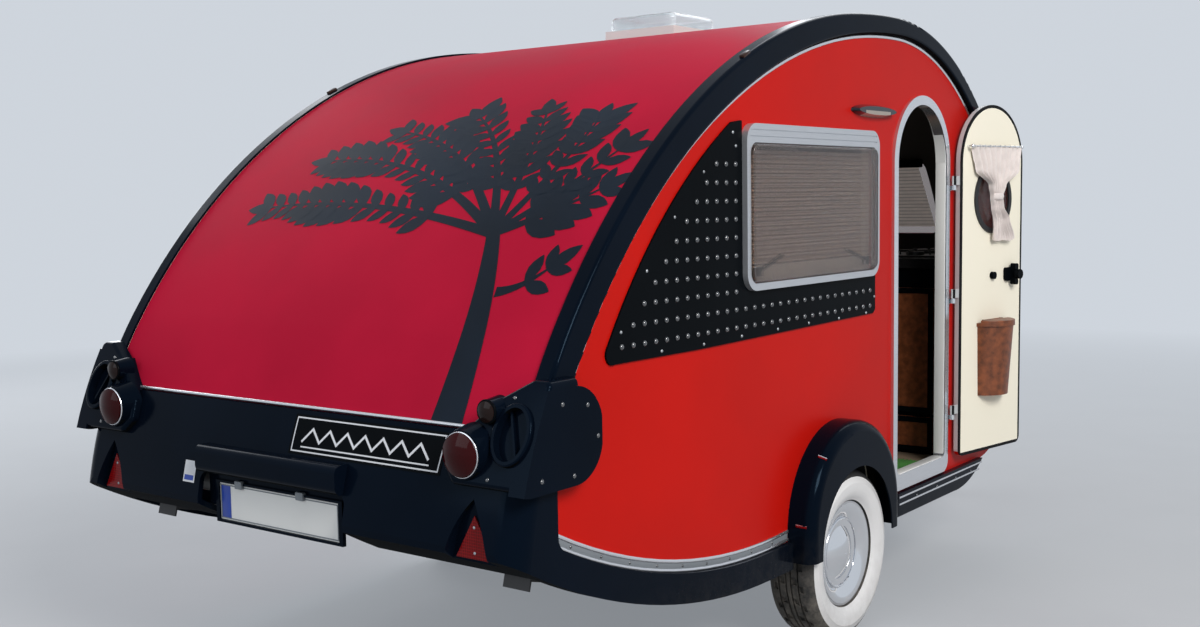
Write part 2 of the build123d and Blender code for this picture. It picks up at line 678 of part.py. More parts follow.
def lamp_pod():
    """Left lamp housing wrapped round the corner, with its cones and grab ring."""
    back = Polyline((900, 1088), (815, 1041), (737, 973), (680, 925), (672, 862), (712, 822), (POD_FACE, 822),
                    (POD_FACE, 1088), close=True)
    back_face = fillet(make_face(back).vertices(), 18)
    side = outline((CROWN_X, CROWN_Z), REAR_ARCS, FRONT_ARCS, -POD_PROUD, 0)
    side &= area((-3 * SWEEP_RADIUS, -1400), (700, 1200))
    rear = across(back_face, -1800, POD_CHEEK_X) & slab(side, 0, EDGE_FACE * 2)
    rear = fillet(rear.edges().filter_by(GeomType.CIRCLE).sort_by(Axis.X)[0:1], 12)
    cheek = rounded((-1800, POD_FRONT), (812, 1066), 115) & side
    cheek = slab(cheek, WALL_FACE, POD_FACE)
    pod = rear + cheek
    for y, z, behind, radius, length in POD_LAMPS:
        cone = Cone(radius * 1.35, radius * 1.12, length, align=(Align.CENTER, Align.CENTER, Align.MIN))
        pod += Pos(tail_x(z) - behind + length, y, z) * (Rot(0, -90, 0) * cone)
    ring_y, ring_z = RING
    lean = Vector(tail_x(ring_z + 60) - tail_x(ring_z - 60), 0, 120).normalized()
    middle = (tail_x(ring_z) - POD_PROUD, ring_y, ring_z)
    facing = Plane(origin=middle, x_dir=(0, 1, 0), z_dir=(-lean.Z, 0, lean.X))
    whole = Ellipse(*RING_HALF)
    inside = Ellipse(*[half - RING_WALL for half in RING_HALF])
    lip = extrude(facing.offset(-20) * whole, amount=20 + RING_PROUD)
    lip = fillet(lip.edges().filter_by(GeomType.ELLIPSE).sort_by(Axis.X)[0], 5)
    pod += lip
    pod -= extrude(facing.offset(-RING_DEEP) * inside, amount=60)
    ridge = (Rot(0, 0, -22) * Rectangle(6, 3 * RING_HALF[1])) & inside
    pod += extrude(facing.offset(-RING_DEEP - 1) * ridge, amount=RING_DEEP)
    body = slab(body_section(SKIN - SEAT), -WALL_FACE - SEAT, WALL_FACE + SEAT)
    edge = outline((CROWN_X, CROWN_Z), REAR_ARCS, FRONT_ARCS, -SEAT, 0)
    edge &= area((-3 * SWEEP_RADIUS, 0), (POD_LOW, 3000))
    bumper = rounded_tail(bumper_section(-SEAT), EDGE_FACE + SEAT, BUMPER_CORNER)
    return pod - body - bumper - slab(edge, 0, EDGE_FACE + SEAT)


def lens(y, z, behind, radius, length):
    """A domed lens that faces to the rear, on the end of its cone."""
    bulge = radius * 0.25
    sphere = (radius ** 2 + bulge ** 2) / (2 * bulge)
    seat_x = tail_x(z) - behind - SEAT
    brim_x = seat_x - LENS_RIM
    dome = Pos(brim_x - bulge + sphere, y, z) * Sphere(sphere)
    barrel = rod((seat_x, y, z), (brim_x - bulge - 1, y, z), radius)
    return dome & barrel


def tyre():
    """Tyre of the right wheel, about its own centre with the axle along y."""
    half = TYRE_WIDTH / 2
    side = [(RIM_SEAT, 50), (RIM_FLANGE + 3, 57), (235, half), (278, half - 12), (TYRE_RADIUS, 62)]
    edge = [(r, -y) for r, y in side[::-1]]
    section = make_face(Polyline(*side, *edge, close=True))
    return revolve(Plane.XY * section, Axis.Y)


def rim():
    """Rim, disc and brake drum of one wheel, in one piece, with its bearing bore."""
    floor = RIM_SEAT - 14
    well = [(RIM_SEAT - SEAT, -52), (RIM_FLANGE, -59), (RIM_FLANGE, -64), (RIM_SEAT - 8, -60), (floor, -50),
            (floor, 12), (70, 18), (70, 24), (floor, 24), (RIM_SEAT - 8, 54), (RIM_SEAT + 3, 58),
            (RIM_SEAT + 8, 64), (RIM_FLANGE, 64), (RIM_FLANGE, 59), (RIM_SEAT - SEAT, 52)]
    ring = revolve(Plane.XY * make_face(Polyline(*well, close=True)), Axis.Y)
    drum = rod((0, -66, 0), (0, 24, 0), 112) - rod((0, -67, 0), (0, 10, 0), 104)
    hub = rod((0, -60, 0), (0, 30, 0), 34)
    return ring + drum + hub - rod((0, -61, 0), (0, 31, 0), HUB_BORE + RUNNING)


def hub_cap():
    """Full chrome dish over the disc."""
    outer = [
        ThreePointArc((-92, 40), (0, 66), (92, 40)),
        Line((92, 40), (122, 44)),
        ThreePointArc((122, 44), (148, 60), (174, 66)),
        Line((174, 66), (174, 64.4)),
        ThreePointArc((174, 64.4), (150, 57), (124, 40)),
        Line((124, 40), (90, 36)),
        ThreePointArc((90, 36), (0, 62), (-90, 36)),
        Line((-90, 36), (-92, 40)),
    ]
    half = make_face(outer) & area((0, 200), (0, 100))
    return revolve(half, Axis.Y)


def on_wheel(shape, side):
    """Move a piece drawn about the wheel's centre to its side: 1 is left, -1 is right."""
    placed = Pos(0, WHEEL_FACE - TYRE_WIDTH / 2, HUB_HEIGHT) * shape
    return placed if side > 0 else other_side(placed)


def axle():
    """Torsion axle: beam, trailing arms, stubs and back plates."""
    stub_end = WHEEL_FACE - TYRE_WIDTH / 2 + 26
    ends = [Pos(AXLE_X, AXLE_Z) * Circle(42), Pos(0, HUB_HEIGHT) * Circle(30)]
    arm_face = make_hull([edge for end in ends for edge in end.edges()])
    half = rod((AXLE_X, 0, AXLE_Z), (AXLE_X, 745, AXLE_Z), AXLE_RADIUS)
    half += slab(arm_face, 720, 750)
    half += rod((0, 745, HUB_HEIGHT), (0, 800, HUB_HEIGHT), 34)
    half += rod((0, 796, HUB_HEIGHT), (0, 806, HUB_HEIGHT), 105)
    half += rod((0, 800, HUB_HEIGHT), (0, stub_end, HUB_HEIGHT), HUB_BORE)
    bracket_top = WALL_BOTTOM - RAIL_HEIGHT - 2 * SEAT
    half += block((AXLE_X - 60, AXLE_X + 60), (RAIL_HALF_GAP - 4, RAIL_HALF_GAP + 4), (AXLE_Z, bracket_top))
    half += block((AXLE_X - 60, AXLE_X + 60), (RAIL_HALF_GAP - 20, RAIL_HALF_GAP + 20),
                  (bracket_top - 5, bracket_top))
    return half + other_side(half)


def drawbar_half(x):
    """Distance from the middle to the centre line of a drawbar arm."""
    slope = (RAIL_HALF_GAP - DRAWBAR_TIP_HALF) / (DRAWBAR_TIP - RAIL_BEND)
    return RAIL_HALF_GAP - (x - RAIL_BEND) * slope


def chassis():
    """Long rails, drawbar arms and cross members below the floor."""
    top = WALL_BOTTOM - SEAT
    half_width = RAIL_WIDTH / 2
    whole = Sketch()
    for side in (-1, 1):
        line = Polyline((RAIL_TAPER, side * RAIL_HALF_GAP), (RAIL_BEND, side * RAIL_HALF_GAP),
                        (DRAWBAR_TIP, side * DRAWBAR_TIP_HALF))
        whole += trace(line, RAIL_WIDTH)
    for x in (RAIL_TAPER + 60, 620):
        reach = drawbar_half(max(x, RAIL_BEND))
        whole += area((x - half_width, x + half_width), (-reach, reach))
    frame = upward(whole, top - RAIL_HEIGHT, top)
    tail = make_face(Polyline((RAIL_TAPER, top - RAIL_HEIGHT), (RAIL_TAPER, 900), (RAIL_REAR, 900),
                              (RAIL_REAR, floor_under(RAIL_REAR) - 45), close=True))
    tail -= body_section(SKIN - SEAT)
    tail &= area((RAIL_REAR, RAIL_TAPER), (0, floor_under(RAIL_REAR) + 1))
    for side in (-1, 1):
        frame += slab(tail, side * RAIL_HALF_GAP - half_width, side * RAIL_HALF_GAP + half_width)
    span = RAIL_HALF_GAP
    floor = floor_under(RAIL_REAR)
    frame += block((RAIL_REAR, RAIL_REAR + 30), (-span, span), (floor - 45, floor - 15))
    tip = block((DRAWBAR_TIP - 240, DRAWBAR_TIP), (-DRAWBAR_TIP_HALF, DRAWBAR_TIP_HALF),
                (top - RAIL_HEIGHT, top - RAIL_HEIGHT + 8))
    return frame + tip


def coupling():
    """Overrun housing, drawbar tube and the ball coupling head."""
    top = WALL_BOTTOM
    tube_z = top + 42
    housing = rod((DRAWBAR_TIP - 230, 0, tube_z), (DRAWBAR_TIP + 20, 0, tube_z), 38)
    foot = block((DRAWBAR_TIP - 210, DRAWBAR_TIP - 10), (-60, 60), (top, top + COUPLING_FOOT))
    saddle = block((DRAWBAR_TIP - 200, DRAWBAR_TIP - 20), (-16, 16), (top, tube_z))
    shaft = rod((DRAWBAR_TIP, 0, tube_z), (BALL_AHEAD - 40, 0, tube_z), 25)
    cup = Pos(BALL_AHEAD, 0, BALL_HEIGHT) * Sphere(38)
    neck = block((BALL_AHEAD - 90, BALL_AHEAD), (-32, 32), (BALL_HEIGHT - 6, tube_z + 26))
    neck = fillet(neck.edges().filter_by(Axis.X), 8)
    collar = Pos(BALL_AHEAD, 0, BALL_HEIGHT - 18) * Cylinder(38, 36)
    socket = Pos(BALL_AHEAD, 0, BALL_HEIGHT) * Sphere(25.4)
    mouth = Pos(BALL_AHEAD, 0, BALL_HEIGHT - 30) * Cylinder(25.4, 60)
    head = housing + foot + saddle + shaft + cup + neck + collar - socket - mouth
    handle = rod((BALL_AHEAD - 60, 0, tube_z + 20), (BALL_AHEAD - 150, 0, tube_z + 75), 9)
    return head + handle


def handbrake():
    """Brake lever beside the overrun housing."""
    foot_z = WALL_BOTTOM + COUPLING_FOOT + SEAT
    y = 50
    foot = block((DRAWBAR_TIP - 190, DRAWBAR_TIP - 130), (y - 6, y + 6), (foot_z, foot_z + 50))
    bend = (DRAWBAR_TIP - 420, y, foot_z + 100)
    lever = rod((DRAWBAR_TIP - 160, y, foot_z + 30), bend, 8)
    grip = rod(bend, (DRAWBAR_TIP - 530, y, foot_z + 134), 14)
    return foot + lever + grip


def jockey(frame):
    """Clamp and tube, sliding stem, turning fork and wheel of the jockey."""
    at = Pos(JOCKEY_X, JOCKEY_Y, 0)
    fork_top = 2 * JOCKEY_WHEEL + 20
    tube = rod((0, 0, JOCKEY_TUBE_Z[0]), (0, 0, JOCKEY_TUBE_Z[1]), JOCKEY_TUBE)
    tube -= rod((0, 0, JOCKEY_TUBE_Z[0] - 1), (0, 0, JOCKEY_TUBE_Z[1] - 20), JOCKEY_STEM + RUNNING)
    clamp = block((-30, 30), (-34, 34), (WALL_BOTTOM - RAIL_HEIGHT, WALL_BOTTOM))
    clamp += block((-25, 25), (0, -JOCKEY_Y - drawbar_half(JOCKEY_X)),
                   (WALL_BOTTOM - RAIL_HEIGHT + 5, WALL_BOTTOM - 5))
    clamp = clamp - at.inverse() * frame
    clamp -= rod((0, 0, 0), (0, 0, JOCKEY_TUBE_Z[1]), JOCKEY_STEM + RUNNING)
    tube += clamp
    stem = rod((0, 0, fork_top + 12), (0, 0, JOCKEY_STEM_TOP), JOCKEY_STEM)
    stem -= rod((0, 0, fork_top), (0, 0, fork_top + JOCKEY_SPIGOT + 2), 8 + RUNNING)
    yoke = block((-22, 22), (-40, 40), (fork_top - 6, fork_top + 4))
    ends = [Pos(0, fork_top) * Circle(20), Pos(-45, JOCKEY_WHEEL) * Circle(16)]
    cheek = make_hull([edge for end in ends for edge in end.edges()])
    yoke += slab(cheek, -40, -34) + slab(cheek, 34, 40)
    yoke += rod((-45, -46, JOCKEY_WHEEL), (-45, 46, JOCKEY_WHEEL), 7)
    yoke += rod((0, 0, fork_top), (0, 0, fork_top + JOCKEY_SPIGOT), 8)
    wheel = rod((-45, -JOCKEY_WHEEL_HALF, JOCKEY_WHEEL), (-45, JOCKEY_WHEEL_HALF, JOCKEY_WHEEL), JOCKEY_WHEEL)
    wheel = fillet(wheel.edges().filter_by(GeomType.CIRCLE), 10)
    wheel += rod((-45, -31, JOCKEY_WHEEL), (-45, 31, JOCKEY_WHEEL), 16)
    wheel -= rod((-45, -50, JOCKEY_WHEEL), (-45, 50, JOCKEY_WHEEL), 7 + RUNNING)
    pieces = {"jockey_tube": tube, "jockey_stem": stem, "jockey_fork": yoke, "jockey_wheel": wheel}
    return {node: at * shape for node, shape in pieces.items()}


def steady(x, y, way, length, tilt):
    """One corner steady folded up under the floor, and the bracket that carries its pivot."""
    pivot_z = floor_under(x) - STEADY_DROP
    leg = block((0, length), (-20, 20), (-13, 13)) + rod((0, -20, 0), (0, 20, 0), 18)
    leg += block((length - 6, length), (-45, 45), (-36, 36))
    leg -= rod((0, -50, 0), (0, 50, 0), STEADY_PIN + RUNNING)
    leg = Rot(0, -tilt, 0) * leg
    if way < 0:
        leg = mirror(leg, about=Plane.YZ)
    bracket = rod((0, -31, 0), (0, 31, 0), STEADY_PIN)
    for side in (-1, 1):
        bracket += block((-20, 20), (side * 28 - 3, side * 28 + 3), (-22, 200))
        bracket += block((-30, 30), (side * 41 - 10, side * 41 + 10), (STEADY_DROP - 12, 200))
    place = Pos(x, y, pivot_z)
    floor = slab(body_section(SKIN - SEAT), -CABIN_HALF, CABIN_HALF)
    return place * leg, (place * bracket) - floor


def roof_hatch():
    """Vent in the roof: frame, hinged clear dome and the hole through the skin."""
    clear = Rectangle(2 * HATCH_CLEAR, 2 * HATCH_CLEAR)
    ring = Rectangle(2 * HATCH_HALF, 2 * HATCH_HALF) - clear
    skin = slab(body_section(SKIN - SEAT), -CABIN_HALF, CABIN_HALF)
    frame = Pos(HATCH_X, 0, 0) * upward(ring, HATCH_Z - 80, HATCH_Z) - skin
    dome = dome_block(HATCH_HALF - 8, HATCH_Z + SEAT, HATCH_TOP, 22)
    dome -= dome_block(HATCH_HALF - 8 - HATCH_WALL, HATCH_Z, HATCH_TOP - HATCH_WALL, 22 - HATCH_WALL)
    dome = Pos(HATCH_X, 0, 0) * dome
    pin_x, pin_z = HATCH_PIN_X, HATCH_PIN_Z
    for y in (-HATCH_KNUCKLE_Y, HATCH_KNUCKLE_Y):
        for low_y in (y - 20, y + 14):
            frame += block((pin_x - 10, pin_x + 6), (low_y, low_y + 6), (HATCH_Z - 16, pin_z))
            frame += rod((pin_x, low_y, pin_z), (pin_x, low_y + 6, pin_z), HATCH_PIN + 3)
        frame += rod((pin_x, y - 20, pin_z), (pin_x, y + 20, pin_z), HATCH_PIN)
        dome += block((HATCH_X + HATCH_HALF - 11, pin_x), (y - 13, y + 13), (pin_z - 4, pin_z + 4))
        dome += rod((pin_x, y - 13, pin_z), (pin_x, y + 13, pin_z), HATCH_PIN + 3)
        dome -= rod((pin_x, y - 14, pin_z), (pin_x, y + 14, pin_z), HATCH_PIN + RUNNING)
    hole = Pos(HATCH_X, 0, 0) * upward(clear, HATCH_Z - 200, HATCH_Z)
    return frame, dome, hole


def dome_block(half, bottom, top, edge):
    """A square block with round upright corners and a rounded top edge."""
    solid = upward(RectangleRounded(2 * half, 2 * half, edge + 10), bottom, top)
    return fillet(solid.faces().sort_by(Axis.Z)[-1].edges(), edge)


def awning_lamp():
    """Oval lamp above the window."""
    middle = Pos(*AWNING_LAMP)
    back = Pos(0, -WALL_FACE - SEAT, 0) * (Plane.XZ * (middle * Ellipse(165, 23)))
    front = Pos(0, -WALL_FACE - 26, 0) * (Plane.XZ * (middle * Ellipse(148, 15)))
    return loft([back, front])


def kitchen():
    """Cabinet across the nose, its fronts and its worktop."""
    inside = body_section(LINING + SEAT, FLOOR + SEAT)
    half = CABIN_HALF - SEAT
    cabinet = slab(inside & area((KITCHEN_X, 3000), (0, WORKTOP_Z - 40 - SEAT)), -half, half)
    hollow = body_section(LINING + SEAT - 1, FLOOR - 1) & area((KITCHEN_X + 16, 3000), (0, 3000))
    cabinet = cabinet - slab(hollow, -half + 16, half - 16)
    cabinet += slab(inside & area((KITCHEN_X + 15, 1500), (0, WORKTOP_Z - 40 - SEAT)), -9, 9)
    top = slab(inside & area((KITCHEN_X - 15, 3000), (WORKTOP_Z - 40, WORKTOP_Z)), -half, half)
    fronts = Part()
    for low_y, high_y in ((-800, -420), (-400, -20), (20, 400), (420, 800)):
        fronts += block((KITCHEN_X - 18, KITCHEN_X - SEAT), (low_y, high_y), (620, 1140))
        fronts += block((KITCHEN_X - 18, KITCHEN_X - SEAT), (low_y, high_y), (455, 600))
    hob = block((1180, 1480), (-760, -300), (WORKTOP_Z + SEAT, WORKTOP_Z + 8))
    for x, y in ((1260, -640), (1400, -640), (1260, -430), (1400, -430)):
        hob += Pos(x, y, WORKTOP_Z + 14) * Cylinder(38, 14)
    return cabinet, top, fronts, hob


def seats():
    """U-shaped seat base round the tail and its three cushions."""
    half = CABIN_HALF - SEAT
    aisle = 300
    rear_front = -850
    face = area((-1700, SEAT_FRONT_X), (-half, half)) - area((rear_front, SEAT_FRONT_X + 1), (-aisle, aisle))
    inside = slab(body_section(LINING + SEAT, FLOOR + SEAT), -half, half)
    base = upward(face, 0, SEAT_TOP_Z) & inside
    under = area((-1700, rear_front - BOARD), (-half, half))
    for side in (-1, 1):
        edge = sorted((side * half, side * (aisle + BOARD)))
        under += area((-1700, SEAT_FRONT_X - BOARD), edge)
    base -= upward(under, 0, SEAT_TOP_Z - BOARD)
    low = SEAT_TOP_Z + SEAT
    cushions = {
        "cushion_right": block((rear_front + 2, SEAT_FRONT_X), (-half + 12, -aisle), (low, low + CUSHION)),
        "cushion_left": block((rear_front + 2, SEAT_FRONT_X), (aisle, half - 12), (low, low + CUSHION)),
        "cushion_rear": block((-1370, rear_front - 2), (-half + 12, half - 12), (low, low + CUSHION)),
    }
    return base, cushions


def build():
    """Make and write every piece."""
    skin, pan = shell_pieces()
    nose_frame, nose_pane, nose_hole = nose_window()
    hatch_frame, hatch_dome, hatch_hole = roof_hatch()
    save("roof_skin", skin - nose_hole - hatch_hole)
    save("floor_pan", pan)
    save("nose_window_frame", nose_frame)
    save("nose_window_pane", nose_pane)
    save("roof_hatch_frame", hatch_frame)
    save("roof_hatch_dome", hatch_dome)

    wall = side_wall()
    frame, doorway = door_frame()
    save("wall_right", wall - doorway)
    save("wall_left", other_side(wall))
    save("door_frame", frame)
    for node, shape in door_pieces().items():
        save(node, opened(shape))
    save("door_hinge_posts", hinge_posts())

    moulding = edge_moulding()
    window, pane = window_frame()
    studs = stud_plate()
    fender = wing()
    front_skirt = skirts()
    pod = lamp_pod()
    box = wheel_box()
    pairs = {
        "edge_mouldings": moulding,
        "side_window_frames": window,
        "side_window_panes": pane,
        "stud_plates": studs,
        "wings": fender,
        "front_skirts": front_skirt,
        "lamp_pods": pod,
        "wheel_boxes": box,
    }
    for node, shape in pairs.items():
        save(node, Compound([*shape.solids(), *other_side(shape).solids()]))

    save("rear_bumper", rear_bumper())
    carrier, handle = plate_carrier()
    save("plate_carrier", carrier)
    save("rear_handle", handle)
    plate_half = PLATE[0] / 2
    save("number_plate", block((PLATE_X - 1.5, PLATE_X + 2 - SEAT), (-plate_half, plate_half),
                               (PLATE_Z - PLATE[1] / 2, PLATE_Z + PLATE[1] / 2)))
    lenses = [solid for lamp in POD_LAMPS for solid in lens(*lamp).solids()]
    save("tail_lenses", Compound([*lenses, *[other_side(solid) for solid in lenses]]))
    reflector_face = offset(notch_face(), -9) & area((NOTCH_Y - 5, NOTCH_Y + 100), (634, 735))
    reflector = across(reflector_face, NOTCH_BACK - SEAT - 4, NOTCH_BACK - SEAT)
    save("reflector_panels", Compound([*reflector.solids(), *other_side(reflector).solids()]))
    save("awning_lamp", awning_lamp())

    for side, name in ((-1, "right"), (1, "left")):
        save(f"tyre_{name}", on_wheel(tyre(), side))
        save(f"rim_{name}", on_wheel(rim(), side))
        save(f"hub_cap_{name}", on_wheel(hub_cap(), side))
    save("axle", axle())
    frame = chassis()
    save("chassis", frame)
    save("coupling", coupling())
    save("handbrake_lever", handbrake())
    for node, shape in jockey(frame).items():
        save(node, shape)
    brackets = []
    for node, place in STEADIES.items():
        leg, bracket = steady(*place)
        save(node, leg)
        brackets += bracket.solids()
    save("steady_brackets", Compound(brackets))

    cabinet, top, fronts, hob = kitchen()
    save("kitchen_cabinet", cabinet)
    save("kitchen_worktop", top)
    save("kitchen_fronts", fronts)
    save("hob", hob)
    base, cushions = seats()
    save("seat_base", base)
    for node, shape in cushions.items():
        save(node, shape)


build()
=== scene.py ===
# %% [markdown]
# A teardrop trailer, dressed for its portrait. The solids come from the CAD frame, already in
# place and in metres. This lesson gives them their finishes and adds what a CAD model leaves
# out: trims, studs, cloth, leaves on the tail, and the small marks of use.

import bmesh
import bpy
from functools import partialmethod
from math import atan2, cos, pi, radians, sin, sqrt
from mathutils import Matrix, Vector
from mathutils.kdtree import KDTree


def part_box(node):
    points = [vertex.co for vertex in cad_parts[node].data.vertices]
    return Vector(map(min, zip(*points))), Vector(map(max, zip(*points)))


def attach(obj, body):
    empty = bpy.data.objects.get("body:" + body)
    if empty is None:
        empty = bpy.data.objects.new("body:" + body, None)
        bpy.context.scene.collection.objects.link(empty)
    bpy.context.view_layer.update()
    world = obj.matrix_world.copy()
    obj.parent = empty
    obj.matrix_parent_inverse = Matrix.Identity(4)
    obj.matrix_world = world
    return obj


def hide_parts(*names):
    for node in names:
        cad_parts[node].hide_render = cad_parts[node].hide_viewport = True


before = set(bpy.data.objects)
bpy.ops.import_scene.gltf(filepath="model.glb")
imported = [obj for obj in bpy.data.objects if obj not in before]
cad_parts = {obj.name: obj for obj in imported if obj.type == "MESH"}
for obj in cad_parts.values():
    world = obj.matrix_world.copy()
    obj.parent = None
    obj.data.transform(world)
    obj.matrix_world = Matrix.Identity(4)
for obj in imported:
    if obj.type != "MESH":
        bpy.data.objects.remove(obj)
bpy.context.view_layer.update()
print("solids from the frame:", len(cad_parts))

# %% [markdown]
# Two origins are in use. The frame's origin is the ball socket, but the trailer is easier to
# think about from the point on the ground below the axle, so one helper turns one into the other.

# %% Where things are
AXLE = Vector((-2.850, 0.0, -0.420))
GROUND = AXLE.z


def at(x, y, z):
    """A point measured from the ground below the axle, in the frame's own coordinates."""
    return AXLE + Vector((x, y, z))


# %% [markdown]
# The camera repeats the photograph's. Its place, turn and focal length were fitted to the
# trailer's own edges, so the render and the photograph can be laid over each other.

# %% Camera
CAMERA_PLACE = Vector((-6.982, -3.022, 1.1185))
CAMERA_YAW, CAMERA_DOWN, CAMERA_ROLL = radians(37.118), radians(5.545), radians(-0.945)
CAMERA_LENS = 40.18
CENTRE_BELOW = 13.4 / 1200  # of the picture's width

lens = bpy.data.cameras.new("portrait_camera")
lens.lens = CAMERA_LENS
lens.sensor_width = 36
lens.shift_y = CENTRE_BELOW
lens.clip_end = 400
camera = bpy.data.objects.new("portrait_camera", lens)
bpy.context.scene.collection.objects.link(camera)
camera.matrix_world = (Matrix.Translation(CAMERA_PLACE) @ Matrix.Rotation(CAMERA_YAW - pi / 2, 4, "Z")
                       @ Matrix.Rotation(pi / 2 - CAMERA_DOWN, 4, "X") @ Matrix.Rotation(CAMERA_ROLL, 4, "Z"))
bpy.context.scene.camera = camera

# %% [markdown]
# Shader helpers. A field is a value that differs from place to place on a surface, such as a
# coordinate. Sums and comparisons with a field are written plainly, and each becomes a math node.
# A comparison gives 1 where it holds and 0 elsewhere, so a product of two means "and".

# %% Node helpers


def node(tree, kind, inputs=None, **settings):
    """A node with its settings, and a value or a link for each of its inputs."""
    made = tree.nodes.new(kind)
    for key, value in settings.items():
        setattr(made, key, value)
    for key, value in (inputs or {}).items():
        value = getattr(value, "socket", value)
        if isinstance(value, bpy.types.NodeSocket):
            tree.links.new(value, made.inputs[key])
        else:
            made.inputs[key].default_value = value
    return made


class Field:
    """A value that differs from place to place, in one node tree."""

    def __init__(self, tree, socket):
        self.tree, self.socket = tree, socket

    def work(self, operation, other=0.0, clamp=False):
        """What one math node makes of this field and another value."""
        made = node(self.tree, "ShaderNodeMath", {0: self, 1: other}, operation=operation, use_clamp=clamp)
        return Field(self.tree, made.outputs[0])

    __add__ = partialmethod(work, "ADD")
    __sub__ = partialmethod(work, "SUBTRACT")
    __mul__ = partialmethod(work, "MULTIPLY")
    __truediv__ = partialmethod(work, "DIVIDE")
    __pow__ = partialmethod(work, "POWER")
    __lt__ = partialmethod(work, "LESS_THAN")
    __gt__ = partialmethod(work, "GREATER_THAN")
    __abs__ = partialmethod(work, "ABSOLUTE")
    larger_of = partialmethod(work, "MAXIMUM")
    smaller_of = partialmethod(work, "MINIMUM")

    def __rsub__(self, other):
        made = node(self.tree, "ShaderNodeMath", {0: other, 1: self}, operation="SUBTRACT")
        return Field(self.tree, made.outputs[0])

    def ramp(self, low, high, start=0.0, end=1.0):
        """This field from low to high becomes start to end, and stays level outside."""
        made = node(self.tree, "ShaderNodeMapRange", {
            "Value": self, "From Min": low, "From Max": high, "To Min": start, "To Max": end}, clamp=True)
        return Field(self.tree, made.outputs["Result"])


def coordinates(tree, kind="Object"):
    """Object coordinates, which are metres in the frame, or the normal."""
    return node(tree, "ShaderNodeTexCoord").outputs[kind]


def xyz(tree, kind="Object"):
    """The x, y and z of the coordinates or the normal, as fields."""
    made = node(tree, "ShaderNodeSeparateXYZ", {0: coordinates(tree, kind)})
    return [Field(tree, socket) for socket in made.outputs]


def vector_node(tree, operation, first, second):
    """One sum of two vectors."""
    return node(tree, "ShaderNodeVectorMath", {0: first, 1: second}, operation=operation).outputs


def noise(tree, scale, detail, where=None, **inputs):
    """Noise over the surface, as a field."""
    inputs = {"Vector": where or coordinates(tree), "Scale": scale, "Detail": detail, **inputs}
    return Field(tree, node(tree, "ShaderNodeTexNoise", inputs).outputs["Fac"])


def mixed(tree, share, first, second):
    """A colour between two, as a socket."""
    pair = [(*colour, 1) if isinstance(colour, tuple) else colour for colour in (first, second)]
    return node(tree, "ShaderNodeMix", {"Factor": share, 6: pair[0], 7: pair[1]}, data_type="RGBA").outputs[2]


def seen_share(tree):
    """1 for what the camera, a mirror or glass sees, and 0 for light that falls on things."""
    rays = node(tree, "ShaderNodeLightPath").outputs
    mirrored_or_through = Field(tree, rays["Is Glossy Ray"]).larger_of(rays["Is Transmission Ray"])
    return mirrored_or_through.larger_of(rays["Is Camera Ray"])


# %% [markdown]
# Light. One broad lamp stands for a soft sun behind the camera's right shoulder, weaker ones fill
# the tail, the nose and the far side, and a pale world lights the rest. Strengths are low, so each
# colour comes out about as it's written. The camera, mirrors and glass see a paler world than the
# one that lights the trailer, so that the background is pale and metal shows it too.

# %% Lamps and world
LAMPS = (  # name, place, size in metres, watts, colour
    ("sun_side", at(-3.4, -6.8, 5.6), 3.0, 560, (1.0, 0.97, 0.94)),
    ("sky_behind", at(-8.0, 2.5, 4.5), 5.0, 130, (0.88, 0.94, 1.0)),
    ("front_fill", at(6.0, 0.8, 6.5), 5.0, 200, (0.95, 0.97, 1.0)),
    ("left_fill", at(1.0, 8.0, 4.0), 5.0, 260, (0.95, 0.97, 1.0)),
)
BODY_MIDDLE = at(0, 0, 1.1)
for name, place, size, watts, colour in LAMPS:
    light = bpy.data.lights.new(name, "AREA")
    light.size, light.energy, light.color = size, watts, colour
    lamp = bpy.data.objects.new(name, light)
    bpy.context.scene.collection.objects.link(lamp)
    lamp.location = place
    lamp.rotation_euler = (BODY_MIDDLE - place).to_track_quat("-Z", "Y").to_euler()

SKY_LIGHT = 0.40
SKY_SEEN = 0.72
SKY_COLOUR = (0.86, 0.92, 1.0, 1)
world = bpy.data.worlds.new("studio")
bpy.context.scene.world = world
world.use_nodes = True
tree = world.node_tree
sky = tree.nodes["Background"]
sky.inputs["Color"].default_value = SKY_COLOUR
tree.links.new(seen_share(tree).ramp(0.0, 1.0, SKY_LIGHT, SKY_SEEN).socket, sky.inputs["Strength"])
bpy.context.scene.view_settings.view_transform = "Standard"

# %% [markdown]
# Finishes. Every material is a Principled shader. Effects that several finishes share are node
# groups: they are built once, and each material gives them its own scale and strength.
# "Unevenness" is the slow wave and fine peel of a sprayed or moulded face. "Hide grain" is the
# pebbled skin of leathercloth. "Weave" crosses two sets of threads. "Brushed" is noise drawn out
# along one direction. "Prisms" are a lens's facets. "Road dust" grows towards the ground.

# %% Shared node groups


def group_of(name, build, **inputs):
    """A shader group with inputs and their defaults. build makes its nodes and names its outputs."""
    group = bpy.data.node_groups.new(name, "ShaderNodeTree")
    for label, value in inputs.items():
        socket = group.interface.new_socket(name=label, in_out="INPUT", socket_type="NodeSocketFloat")
        socket.default_value = value
    results = build(group, group.nodes.new("NodeGroupInput").outputs)
    for label in results:
        group.interface.new_socket(name=label, in_out="OUTPUT", socket_type="NodeSocketFloat")
    node(group, "NodeGroupOutput", results)
    return group


def unevenness(tree, given):
    """Fine peel, and a slow cloud of shade."""
    return {"Height": noise(tree, given["Scale"], 2.0), "Cloud": noise(tree, 2.2, 3.0)}


